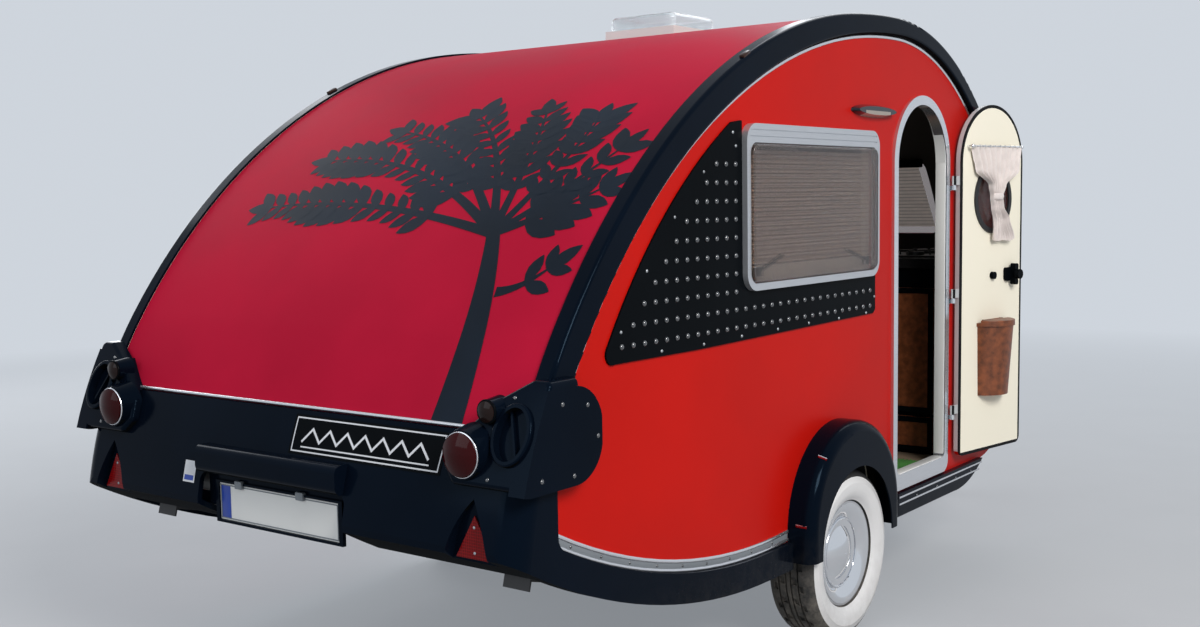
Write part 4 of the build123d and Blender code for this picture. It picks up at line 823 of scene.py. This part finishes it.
bm = bmesh.new()
for above in LIP_LINES:
    sweep_line(bm, above, TRIM_Y, 0.0058, 0.005)
for z, front in SKIRT_LINES:
    bar(bm, at(0.480, SKIRT_Y - 0.005, z - 0.0035), at(front, SKIRT_Y, z + 0.0035), 0.0015)
mirrored(bm)
as_piece("lower_trims", bm, "base", trim_metal)

bm = bmesh.new()
sweep_line(bm, GROOVE_LINE, -WALL_FACE, 0.0125, 0.003)
mirrored(bm)
as_piece("lower_trim_grooves", bm, "base", plastic_grey)

bm = bmesh.new()
for step in range(9):
    x = SWEEP_FROM - 0.10 - step * 0.13
    dome(bm, at(x, TRIM_Y, on_sweep(x, GROOVE_LINE)), (0, -1, 0), 0.0048, 0.004)
for x in (0.64, 0.832, 1.02, 1.18):
    dome(bm, at(x, -0.927, 0.376), (0, -1, 0), 0.0055, 0.004)
mirrored(bm)
as_piece("lower_trim_screws", bm, "base", stud_black)

# %% [markdown]
# The black side plates carry round-headed studs in rows. Each is a low dome of a few dozen faces.
# The rows step back with the plate's slanted edge, and the two lowest run on below the window.

# %% Studs
STUD_FACE = 0.911
STUD_START = (-1.249, 1.136)
STUD_PITCH = (0.0537, 0.0548)
STUD_ROWS, ROWS_BELOW = 10, 2
UNDER_WINDOW = 29
BESIDE_WINDOW = 12

places = [at(STUD_START[0] + column * STUD_PITCH[0], -STUD_FACE, STUD_START[1] + row * STUD_PITCH[1])
          for row in range(STUD_ROWS)
          for column in range(row, UNDER_WINDOW if row < ROWS_BELOW else BESIDE_WINDOW)]
screws("plate_studs", places, stud_black, 0.0090, 0.0070)
print("studs on each side:", len(places))

EDGE_SCREWS = ((-1.058, 1.106), (-0.840, 1.104), (-0.626, 1.108), (-0.404, 1.110), (-0.198, 1.112), (0.018, 1.110),
               (0.228, 1.112), (-1.250, 1.176), (-1.126, 1.334), (-0.986, 1.478), (-0.832, 1.606), (-0.670, 1.724),
               (-0.654, 1.684), (0.294, 1.166))
screws("plate_screws", [at(x, -STUD_FACE, z) for x, z in EDGE_SCREWS], zinc, 0.0050, 0.0035)

# %% [markdown]
# The tail is one long curve, so what lies on it is easiest to draw flat and then bend on. A point
# is given by its distance along the curve above the lower trim, and by y across the trailer.

# %% A point on the tail
SKIN_CROWN = (0.465, 2.167)
SKIN_REAR = ((3.600, 6.0), (2.195, 50.5), (1.385, 23.0))
SKIN_INSET = 0.008
CROWN_TO_TRIM = 2.5522
TAIL_ARCS = arc_chain(SKIN_CROWN, SKIN_REAR, 1, SKIN_INSET)


def on_tail(up_tail, y, proud=0.0):
    """Where a point of the flat drawing lies on the tail, and standing proud of it."""
    left = CROWN_TO_TRIM - up_tail
    turned = 0.0
    for ((x, z), angle), (radius, degrees_turned) in zip(TAIL_ARCS, SKIN_REAR):
        radius -= SKIN_INSET
        reach = radius * angle
        if left <= reach or degrees_turned == SKIN_REAR[-1][1]:
            turned += left / radius
            return at(x - (radius + proud) * sin(turned), y, z + (radius + proud) * cos(turned))
        left -= reach
        turned += angle


# %% [markdown]
# The decal on the tail is a leafy sprig of this model's own drawing: a stem that rises from the
# lower trim, splits into a fan, and carries pairs of pointed leaves. Leaves start as circles that
# are pinched to two points. Stems are narrow grids along a bent line.

# %% Leafy sprig
STEM_PROUD, LEAF_PROUD = 0.0009, 0.0011
STEM_STEPS = 28


def bent(start, middle, end, t):
    """A point on a curve that leaves start, leans towards middle and reaches end."""
    start, middle, end = Vector(start), Vector(middle), Vector(end)
    return start * (1 - t) ** 2 + middle * 2 * t * (1 - t) + end * t ** 2


def stem(bm, curve, wide, narrow):
    """A tapering strip along a bent line."""
    for vert, t, side in grid(bm, STEM_STEPS, 1):
        here = bent(*curve, t)
        ahead = bent(*curve, min(t + 0.01, 1.0)) - bent(*curve, max(t - 0.01, 0.0))
        here += Vector((-ahead.y, ahead.x)).normalized() * (side - 0.5) * (wide + (narrow - wide) * t)
        vert.co = on_tail(here.y, here.x, STEM_PROUD)


def leaf(bm, root, angle, length, width):
    """A pointed leaf that grows from root at an angle."""
    for vert in bmesh.ops.create_circle(bm, cap_ends=True, segments=14, radius=1.0)["verts"]:
        pinch = sqrt(max(0.0, 1 - vert.co.x ** 2))
        along = (vert.co.x + 1) / 2 * length
        off = vert.co.y * pinch * width / 2
        vert.co = on_tail(root.y + along * sin(angle) + off * cos(angle),
                          root.x + along * cos(angle) - off * sin(angle), LEAF_PROUD)


TRUNK = ((-0.613, 0.004), (-0.640, 0.300), (-0.500, 0.600))
FORK = (-0.500, 0.590)
FAN = (
    (FORK, (0.120, 0.760), (0.560, 0.700)),
    (FORK, (0.000, 0.960), (0.440, 0.930)),
    (FORK, (-0.160, 1.000), (0.200, 1.080)),
    (FORK, (-0.340, 0.960), (-0.080, 1.150)),
    (FORK, (-0.480, 0.900), (-0.360, 1.150)),
    (FORK, (-0.620, 0.860), (-0.600, 1.080)),
    (FORK, (-0.660, 0.720), (-0.770, 0.930)),
    (FORK, (-0.640, 0.640), (-0.800, 0.760)),
    ((-0.620, 0.390), (-0.700, 0.400), (-0.765, 0.470)),
)
bm = bmesh.new()
stem(bm, TRUNK, 0.112, 0.045)
leaves = 0
for curve in FAN:
    stem(bm, curve, 0.034, 0.008)
    span = (Vector(curve[2]) - Vector(curve[0])).length
    pairs = max(2, round(span / 0.075))
    for step in range(1, pairs + 1):
        t = 0.18 + 0.80 * step / pairs
        here = bent(*curve, t)
        ahead = bent(*curve, t) - bent(*curve, t - 0.02)
        heading = atan2(ahead.y, ahead.x)
        size = 0.115 + 0.03 * sin(7.0 * step + 6.0 + span * 20)
        for way in (-1, 1):
            leaf(bm, here, heading + way * radians(46), size, size * 0.46)
            leaves += 1
    leaf(bm, bent(*curve, 0.97), heading, 0.12, 0.05)
as_piece("tail_sprig", bm, "base", decal_ink)
print("leaves on the tail:", leaves)

# %% [markdown]
# The tail's lower half: a silver trim where the red skin meets the bumper, a sticker with a
# white outline and a plain zigzag on the bumper, and a small square label beside the handle.

# %% Tail trim and stickers
BUMPER_PROUD = 0.0168
PRINT_PROUD = BUMPER_PROUD + 0.0006


def bent_strip(bm, corners, steps, proud):
    """A four-cornered patch, drawn as y and distance up the tail, bent on to it."""
    left_low, right_low, right_high, left_high = [Vector(corner) for corner in corners]
    for vert, u, v in grid(bm, steps, steps):
        here = left_low.lerp(right_low, u).lerp(left_high.lerp(right_high, u), v)
        vert.co = on_tail(here.y, here.x, proud)


def strip_line(bm, points, width, proud):
    """A line of even width through several points of the flat drawing."""
    for start, end in zip(points, points[1:]):
        start, end = Vector(start), Vector(end)
        way = (end - start).normalized()
        off = Vector((-way.y, way.x)) * width / 2
        start, end = start - way * width / 2, end + way * width / 2
        bent_strip(bm, (start - off, end - off, end + off, start + off), 4, proud)


bm = bmesh.new()
rod(bm, on_tail(0.002, -0.880, 0.004), on_tail(0.002, 0.880, 0.004), 0.0055, segments=10)
as_piece("tail_trim", bm, "base", trim_metal)

STICKER = ((-0.646, -0.134), (-0.056, -0.134), (-0.056, -0.022), (-0.654, -0.022))
bm = bmesh.new()
bent_strip(bm, STICKER, 8, BUMPER_PROUD)
as_piece("bumper_sticker", bm, "base", satin_black)
bm = bmesh.new()
inside = [(-0.636, -0.125), (-0.067, -0.125), (-0.067, -0.031), (-0.643, -0.031)]
strip_line(bm, inside + inside[:1], 0.004, PRINT_PROUD)
zigzag = [(-0.595 + 0.035 * step, -0.060 if step % 2 else -0.096) for step in range(15)]
strip_line(bm, zigzag, 0.007, PRINT_PROUD)
strip_line(bm, [(-0.600, -0.112), (-0.105, -0.112)], 0.004, PRINT_PROUD)
as_piece("bumper_sticker_lines", bm, "base", sticker_white)

SMALL_LABEL = ((0.340, -0.264), (0.394, -0.264), (0.394, -0.200), (0.340, -0.200))
bm = bmesh.new()
bent_strip(bm, SMALL_LABEL, 3, BUMPER_PROUD)
as_piece("small_label", bm, "base", sticker_white)
bm = bmesh.new()
bent_strip(bm, ((0.346, -0.258), (0.388, -0.258), (0.388, -0.243), (0.346, -0.243)), 2, PRINT_PROUD)
as_piece("small_label_bar", bm, "base", plate_blue)

# %% [markdown]
# The number plate is blank: a pressed rim, a plain blue band and two small grey clips that hold
# its upper edge.

# %% Number plate
low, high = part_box("number_plate")
PLATE_FACE = low.x - 0.0008
PLATE_HALF = 0.260
plate_low, plate_high = low.z, high.z
bm = bmesh.new()
for y0, y1, z0, z1 in ((-PLATE_HALF, PLATE_HALF, plate_high - 0.007, plate_high - 0.004),
                       (-PLATE_HALF, PLATE_HALF, plate_low + 0.004, plate_low + 0.007),
                       (-PLATE_HALF + 0.004, -PLATE_HALF + 0.007, plate_low + 0.004, plate_high - 0.004),
                       (PLATE_HALF - 0.007, PLATE_HALF - 0.004, plate_low + 0.004, plate_high - 0.004)):
    bar(bm, (PLATE_FACE - 0.0012, y0, z0), (PLATE_FACE + 0.001, y1, z1), 0.0005)
as_piece("plate_rim", bm, "base", plastic_grey)
bm = bmesh.new()
bar(bm, (PLATE_FACE - 0.0006, 0.212, plate_low + 0.007), (PLATE_FACE + 0.001, 0.252, plate_high - 0.007), 0.0003)
as_piece("plate_band", bm, "base", plate_blue)
bm = bmesh.new()
for y in (0.165, -0.105):
    bar(bm, (PLATE_FACE - 0.010, y - 0.016, plate_high - 0.010),
        (PLATE_FACE + 0.004, y + 0.016, plate_high + 0.014), 0.003)
as_piece("plate_clips", bm, "base", plastic_grey)

# %% [markdown]
# Lamp housings. Each large lens sits in a thin bright ring, the small dark lamp above it has a
# hood, and small dark screws hold the housing.

# %% Lamp details
for name, place, radius, thick, steps, material in (
        ("lens_rings", at(-1.7185, -0.752, 0.903), 0.0575, 0.0020, 48, trim_metal),
        ("lens_hoods", at(-1.6715, -0.801, 1.010), 0.0285, 0.0035, 32, satin_black)):
    bm = bmesh.new()
    hoop(bm, place, (1, 0, 0), radius, thick, steps)
    mirrored(bm)
    as_piece(name, bm, "base", material)

POD_FACE = 0.957
SIDE_SCREWS = ((-1.562, 1.026), (-1.460, 1.012), (-1.418, 0.926), (-1.520, 0.838), (-1.648, 0.846))
REAR_SCREWS = (((-1.6277, -0.8577, 1.0435), (-0.894, 0, 0.447)),
               ((-1.7077, -0.8296, 0.8472), (-0.951, 0, 0.309)))  # place and facing
bm = bmesh.new()
for x, z in SIDE_SCREWS:
    dome(bm, at(x, -POD_FACE, z), (0, -1, 0), 0.0062, 0.003, around=14)
for place, facing in REAR_SCREWS:
    dome(bm, at(*place), facing, 0.0055, 0.003, around=14)
mirrored(bm)
as_piece("housing_screws", bm, "base", stud_black)

# %% [markdown]
# The reflectors at the back of the notches are upright triangles with two small screws each.

# %% Reflectors
low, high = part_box("reflector_panels")
TRIANGLE = ((-0.706, 0.634), (-0.838, 0.634), (-0.772, 0.746))
bm = bmesh.new()
corners = [bm.verts.new((high.x, y, GROUND + z)) for y, z in TRIANGLE]
made = bmesh.ops.extrude_face_region(bm, geom=[bm.faces.new(corners)])["geom"]
bmesh.ops.translate(bm, vec=(low.x - high.x, 0, 0), verts=verts_in(made))
mirrored(bm)
reflectors = as_piece("reflector_triangles", bm, "base", reflector_red)
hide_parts("reflector_panels")
screws("reflector_screws", [(low.x, -0.770, GROUND + z) for z in (0.650, 0.716)], zinc, 0.0042, 0.0025, (-1, 0, 0))

# %% [markdown]
# The wing's rounded rear face has two short slots, one high and one low. Each shows a bright lip
# over a dull red lens.

# %% Wing markers
WING_SLOTS = (((-0.2285, -0.9620, 0.6785), (-0.2225, -0.9905, 0.6690)),
              ((-0.3330, -0.9360, 0.4620), (-0.3305, -0.9740, 0.4602)))
for name, drop, thick, material in (("lenses", 0.0045, 0.0036, reflector_red), ("lips", 0.0, 0.0018, trim_metal)):
    down = Vector((0, 0, drop))
    bm = bmesh.new()
    for start, end in WING_SLOTS:
        rod(bm, at(*start) - down, at(*end) - down, thick, segments=10)
    mirrored(bm)
    as_piece(f"wing_marker_{name}", bm, "base", material)

# %% [markdown]
# Small marker lamps sit on the roof's edge on both sides.

# %% Roof markers
bm = bmesh.new()
for side in (-1, 1):
    place = on_tail(1.457, side * 0.915, 0.010)
    ahead = on_tail(1.477, side * 0.915, 0.010) - place
    turn = Matrix((ahead.normalized(), Vector((0, 1, 0)), ahead.cross(Vector((0, 1, 0))).normalized())).transposed()
    made = bar(bm, (-0.022, -0.009, -0.006), (0.022, 0.009, 0.006), 0.004)
    bmesh.ops.transform(bm, matrix=Matrix.Translation(place) @ turn.to_4x4(), verts=made)
as_piece("roof_markers", bm, "base", lens_dark)

# %% [markdown]
# Side windows. Behind the tinted pane hang a pleated blind in its cassette along the bottom and a
# pale strip at the right. The stays that hold the pane open fold against it. The blind is one
# sheet folded up and down like a fan: a grid whose rows are pushed out in turn.

# %% Window blind and stays
WINDOW_CLEAR = ((-0.595, 0.277), (1.265, 1.696))
BLIND_Y = 0.878


def pleated(bm, pleats, start, across, upward, fold):
    """A pleated sheet from one corner along two edges. Every second row is pushed out by fold."""
    for vert, u, v in grid(bm, 2, 2 * pleats):
        pushed = round(v * 2 * pleats) % 2
        vert.co = Vector(start) + Vector(across) * u + Vector(upward) * v + Vector(fold) * pushed


(left, right_end), (sill, head) = WINDOW_CLEAR
for side, name in SIDES:
    bm = bmesh.new()
    pleated(bm, 36, at(left + 0.01, side * BLIND_Y, sill + 0.055), (right_end - left - 0.02, 0, 0),
            (0, 0, head - sill - 0.075), (0, 0.004, 0))
    as_piece(f"window_blind_{name}", bm, "base", blind_cloth, sharp=20)
bm = bmesh.new()
bar(bm, at(left, -0.900, sill + 0.002), at(right_end, -0.872, sill + 0.052), 0.006)
bar(bm, at(right_end - 0.030, -0.900, sill + 0.050), at(right_end - 0.004, -0.878, head), 0.005)
mirrored(bm)
as_piece("blind_cassettes", bm, "base", cream_cloth)
bm = bmesh.new()
for x, way in ((left + 0.06, 1), (right_end - 0.06, -1)):
    foot = at(x, -0.912, sill + 0.035)
    rod(bm, foot, foot + Vector((way * 0.150, 0.004, 0.045)), 0.005, segments=10)
    bar(bm, foot + Vector((-0.018, -0.006, -0.014)), foot + Vector((0.018, 0.008, 0.014)), 0.004)
mirrored(bm)
as_piece("window_stays", bm, "base", satin_black)

# %% [markdown]
# The nose window has the same kind of blind. It covers the window and hangs from a dark rail.

# %% Nose window blind
NOSE_HALF = 0.60
low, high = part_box("nose_window_pane")
bm = bmesh.new()
pleated(bm, 14, (high.x - 0.055, -NOSE_HALF, low.z + 0.03), (0, 2 * NOSE_HALF, 0),
        (low.x - high.x, 0, high.z - low.z - 0.05), (-0.006, 0, 0))
as_piece("nose_blind", bm, "base", lit_blind, sharp=20)
bm = bmesh.new()
bar(bm, (low.x - 0.080, -NOSE_HALF - 0.02, high.z - 0.035), (low.x - 0.045, NOSE_HALF + 0.02, high.z), 0.006)
as_piece("nose_blind_rail", bm, "base", satin_black)

# %% [markdown]
# Kitchen. Each brown door gets a dark frame and a round push knob. A chrome tap stands over a small
# sink beside the hob, and the hob has pan rests.

# %% Kitchen details
FRONT_X = 1.082
FRONTS_Y = ((-0.800, -0.420), (-0.400, -0.020), (0.020, 0.400), (0.420, 0.800))
FRONTS_Z = ((0.620, 1.140), (0.455, 0.600))
FRAME = 0.022
bm = bmesh.new()
knobs = bmesh.new()
for y0, y1 in FRONTS_Y:
    for z0, z1 in FRONTS_Z:
        for a, b, c, d in ((y0, y1, z1 - FRAME, z1), (y0, y1, z0, z0 + FRAME),
                           (y0, y0 + FRAME, z0 + FRAME, z1 - FRAME), (y1 - FRAME, y1, z0 + FRAME, z1 - FRAME)):
            bar(bm, at(FRONT_X - 0.005, a, c), at(FRONT_X + 0.001, b, d), 0.0015)
        dome(knobs, at(FRONT_X - 0.003, (y0 + y1) / 2, z1 - 0.045), (-1, 0, 0), 0.015, 0.010, around=18, rings=10)
as_piece("front_frames", bm, "base", satin_black)
as_piece("front_knobs", knobs, "base", chrome)

WORKTOP_TOP = 1.262
TAP = at(1.52, 0.10, WORKTOP_TOP)
TAP_RODS = (((0, 0, 0), (0, 0, 0.030), 0.022, 0.014), ((0, 0, 0.020), (0, 0, 0.160), 0.010, 0.010),
            ((0.006, 0, 0.155), (-0.150, 0, 0.170), 0.009, 0.009),
            ((-0.145, 0, 0.172), (-0.150, 0, 0.140), 0.010, 0.010),
            ((0, 0, 0.165), (0.010, 0.040, 0.205), 0.006, 0.006))  # start, end, radius at each
bm = bmesh.new()
for start, end, radius, tip in TAP_RODS:
    rod(bm, TAP + Vector(start), TAP + Vector(end), radius, tip)
as_piece("sink_tap", bm, "base", chrome)

SINK_X, SINK_Y, SINK_RADIUS = 1.38, 0.10, 0.155
bm = bmesh.new()
hoop(bm, at(SINK_X, SINK_Y, WORKTOP_TOP + 0.002), (0, 0, 1), SINK_RADIUS, 0.006)
rod(bm, at(SINK_X, SINK_Y, WORKTOP_TOP + 0.0005), at(SINK_X, SINK_Y, WORKTOP_TOP + 0.0020), SINK_RADIUS, segments=48)
as_piece("sink_bowl", bm, "base", chrome)

bm = bmesh.new()
for x, y in ((1.260, -0.640), (1.400, -0.640), (1.260, -0.430), (1.400, -0.430)):
    middle = at(x, y, WORKTOP_TOP + 0.026)
    for way in range(4):
        out = Vector((cos(way * pi / 2), sin(way * pi / 2), 0))
        rod(bm, middle + out * 0.012, middle + out * 0.070, 0.0035, segments=8)
        rod(bm, middle + out * 0.068, middle + out * 0.068 - Vector((0, 0, 0.018)), 0.0035, segments=8)
as_piece("pan_rests", bm, "base", black_steel)

# %% [markdown]
# Just inside the door lies a mat of green turf. It is a block with a rough top: many small tufts
# are raised on a fine grid by a wave that never repeats along the grid.

# %% Turf mat
MAT_X, MAT_Y, MAT_Z = (0.500, 0.915), (-0.860, -0.640), 0.4425
bm = bmesh.new()
for vert, u, v in grid(bm, 80, 36):
    edge = min(u, 1 - u, v, 1 - v) < 0.001
    tuft = 0.0 if edge else 0.008 + 0.003 * sin(191.7 * u + 37.0 * v) + 0.003 * sin(83.1 * v + 59.0 * u * v)
    vert.co = at(MAT_X[0] + u * (MAT_X[1] - MAT_X[0]), MAT_Y[0] + v * (MAT_Y[1] - MAT_Y[0]), MAT_Z + tuft)
as_piece("turf_mat", bm, "base", turf, sharp=80)

# %% [markdown]
# Doorway: a pale jamb lines the opening inside the bright frame. Its two legs and its sill are
# bars, and the arch above them is the legs' section spun half a turn.

# %% Door jamb
JAMB_HALF = 0.2225
JAMB_THICK = 0.004
JAMB_DEPTH = (-0.912, -0.872)
SILL_Z = 0.477
outer, inner = JAMB_HALF + 0.002, JAMB_HALF - JAMB_THICK
bm = bmesh.new()
for side in (-1, 1):
    x0, x1 = sorted((LEAF_MIDDLE + side * inner, LEAF_MIDDLE + side * outer))
    bar(bm, at(x0, JAMB_DEPTH[0], SILL_Z), at(x1, JAMB_DEPTH[1], ARCH_Z), 0.0008)
bar(bm, at(LEAF_MIDDLE - inner, JAMB_DEPTH[0], SILL_Z - 0.002),
    at(LEAF_MIDDLE + inner, JAMB_DEPTH[1], SILL_Z + 0.003), 0.0008)
corners = [at(LEAF_MIDDLE + reach, y, ARCH_Z) for reach in (inner, outer) for y in JAMB_DEPTH]
section = [bm.verts.new(corners[index]) for index in (0, 1, 3, 2)]
bmesh.ops.spin(bm, geom=[bm.faces.new(section)], cent=at(LEAF_MIDDLE, 0, ARCH_Z), axis=(0, -1, 0), angle=pi, steps=40)
as_piece("door_jamb", bm, "base", white_plastic)

# %% [markdown]
# Cushions. Each is blown up like a real one: a block a little smaller than the space it fills is
# remeshed into even squares, Blender's cloth swells it with a light pressure, and no point may
# move further than a cap or leave the cushion's space. It rests flat on the seat below. Piping is
# sewn round its upper edge afterwards. The right cushion is made once and mirrored for the left.

# %% Cushions
PRESSURE = 4.0
SWELL_FRAMES = 20
MOVE_CAP = 0.026
SQUARE = 0.011
SHRINK = Vector((0.014, 0.014, 0.022))
PIPING_STEPS, PIPING_RADIUS = 26, 0.0045


def frozen(thing):
    """The mesh that an object's modifiers make of it."""
    return bpy.data.meshes.new_from_object(thing.evaluated_get(bpy.context.evaluated_depsgraph_get()))


def swollen(low, high):
    """A cushion in the space from low to high: its mesh, and where each of its points began."""
    bm = bmesh.new()
    bar(bm, low + Vector((SHRINK.x, SHRINK.y, 0.0)), high - SHRINK, 0.012)
    mesh = bpy.data.meshes.new("cushion_block")
    bm.to_mesh(mesh)
    bm.free()
    block = bpy.data.objects.new("cushion_block", mesh)
    bpy.context.scene.collection.objects.link(block)
    remesh = block.modifiers.new("squares", "REMESH")
    remesh.mode = "VOXEL"
    remesh.voxel_size = SQUARE
    remesh.use_smooth_shade = True
    squares = frozen(block)
    block.modifiers.clear()
    block.data = squares
    before = [vert.co.copy() for vert in squares.vertices]
    after = before
    cloth = block.modifiers.new("swell", "CLOTH")
    cloth.settings.use_pressure = True
    cloth.settings.uniform_pressure_force = PRESSURE
    cloth.settings.effector_weights.gravity = 0.0
    cloth.point_cache.frame_end = SWELL_FRAMES
    scene = bpy.context.scene
    for frame_number in range(1, SWELL_FRAMES + 1):
        scene.frame_set(frame_number)
    after = [vert.co.copy() for vert in frozen(block).vertices]
    scene.frame_set(1)
    points = []
    for start, end in zip(before, after):
        move = end - start
        if move.length > MOVE_CAP:
            move *= MOVE_CAP / move.length
        place = start + move
        points.append(Vector(min(max(value, least), most) for value, least, most in zip(place, low, high)))
    faces = [tuple(polygon.vertices) for polygon in squares.polygons]
    bpy.data.objects.remove(block)
    return points, faces, before


def piped(bm, points, radius):
    """Round piping through a closed row of points."""
    rings = []
    for before, here, after in zip(points[-1:] + points[:-1], points, points[1:] + points[:1]):
        place = Matrix.Translation(here) @ turned_to(after - before)
        rings.append(edges_of(bmesh.ops.create_circle(bm, segments=8, radius=radius, matrix=place)["verts"]))
    for ring, following in zip(rings, rings[1:] + rings[:1]):
        bmesh.ops.bridge_loops(bm, edges=ring + following)


def sewn(name, points, faces, before, low, high, mirror):
    """The finished cushion in place of its solid, with its piping."""
    flip = Vector((1, -1, 1)) if mirror else Vector((1, 1, 1))
    bm = bmesh.new()
    verts = [bm.verts.new(point * flip) for point in points]
    for face in faces:
        bm.faces.new([verts[index] for index in face])
    cushion = as_piece(f"{name}_soft", bm, "base", seat_cloth, sharp=180)
    smooth = cushion.modifiers.new("smooth", "SUBSURF")
    smooth.levels = smooth.render_levels = 1
    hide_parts(name)
    tree = KDTree(len(before))
    for index, point in enumerate(before):
        tree.insert(point, index)
    tree.balance()
    (x0, y0, _), (x1, y1, z1) = low + SHRINK, high - SHRINK
    corners = ((x0, y0), (x1, y0), (x1, y1), (x0, y1), (x0, y0))
    path = [Vector((x + (next_x - x) * t / PIPING_STEPS, y + (next_y - y) * t / PIPING_STEPS, z1))
            for (x, y), (next_x, next_y) in zip(corners, corners[1:]) for t in range(PIPING_STEPS)]
    row = [points[tree.find(point)[1]] * flip for point in path]
    bm = bmesh.new()
    piped(bm, row, PIPING_RADIUS)
    piping = as_piece(f"{name}_piping", bm, "base", cream_cloth)
    piping.modifiers.new("smooth", "SMOOTH").iterations = 2
    print(name, "points:", len(points), "piping faces:", len(piping.data.polygons))


for name, twin in (("cushion_right", "cushion_left"), ("cushion_rear", None)):
    low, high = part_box(name)
    grown = swollen(low, high)
    sewn(name, *grown, low, high, False)
    if twin:
        sewn(twin, *grown, low, high, True)

# %% [markdown]
# The curtain on the open door is gathered on its rod and drawn in by a band. Its pleats are a wave
# across a grid: the wave is widest at the top, squeezed at the band, and loose again at the hem.

# %% Door curtain
ROD_Z, TIE_Z, HEM_Z = 1.712, 1.514, 1.340
CURTAIN_INWARD = 0.031
PLEATS = 9
FULL_WIDTH = 0.35
HOOK_Z = 1.7150
LIMITS = ((ROD_Z, -0.175, 0.175), (1.62, -0.150, 0.150), (TIE_Z + 0.045, -0.055, 0.055), (TIE_Z, -0.038, 0.038),
          (TIE_Z - 0.040, -0.045, 0.030), (1.42, -0.085, 0.020), (HEM_Z, -0.125, 0.027))


def curtain_edges(z):
    """Left and right edge of the curtain at a height."""
    for (z0, left0, right0), (z1, left1, right1) in zip(LIMITS, LIMITS[1:]):
        if z >= z1:
            t = (z0 - z) / (z0 - z1)
            t = t * t * (3 - 2 * t)
            return left0 + (left1 - left0) * t, right0 + (right1 - right0) * t
    return LIMITS[-1][1:]


bm = bmesh.new()
for vert, u, v in grid(bm, PLEATS * 12, 56):
    z = HEM_Z + v * (ROD_Z - HEM_Z)
    left, right_edge = curtain_edges(z)
    x = left + u * (right_edge - left)
    tightness = (right_edge - left) / FULL_WIDTH
    swing = 0.011 * (0.6 + 0.4 * min(1.0, tightness + 0.3)) * sin(u * PLEATS * 2 * pi + 1.2 * sin(3.1 * u + 2.0 * v))
    swing += 0.003 * sin(7.0 * u + 11.0 * v)
    drop = 0.010 * sin(u * pi) * (1 - v) + 0.004 * sin(u * 9.0) * (1 - v)
    vert.co = on_door(LEAF_MIDDLE + x, CURTAIN_INWARD + max(-0.013, min(0.013, swing)), z - drop)
curtain = as_piece("door_curtain_cloth", bm, "door", curtain_cloth, sharp=80)
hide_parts("door_curtain")

middle = on_door(LEAF_MIDDLE - 0.003, CURTAIN_INWARD, TIE_Z)
bm = bmesh.new()
hoop(bm, middle, (0, 0, 1), 0.040, 0.013, steps=36)
for vert in bm.verts:
    off = vert.co - middle
    off -= INWARD * off.dot(INWARD) * 0.50
    vert.co = middle + Vector((off.x * 0.72, off.y * 0.72, off.z))
tie_band = as_piece("curtain_tie", bm, "door", curtain_cloth)

bm = bmesh.new()
for step in range(10):
    x = LEAF_MIDDLE - 0.170 + step * 0.0378
    hoop(bm, on_door(x, CURTAIN_INWARD, HOOK_Z), ALONG, 0.0062, 0.0013, steps=14)
as_piece("curtain_hooks", bm, "door", white_plastic)
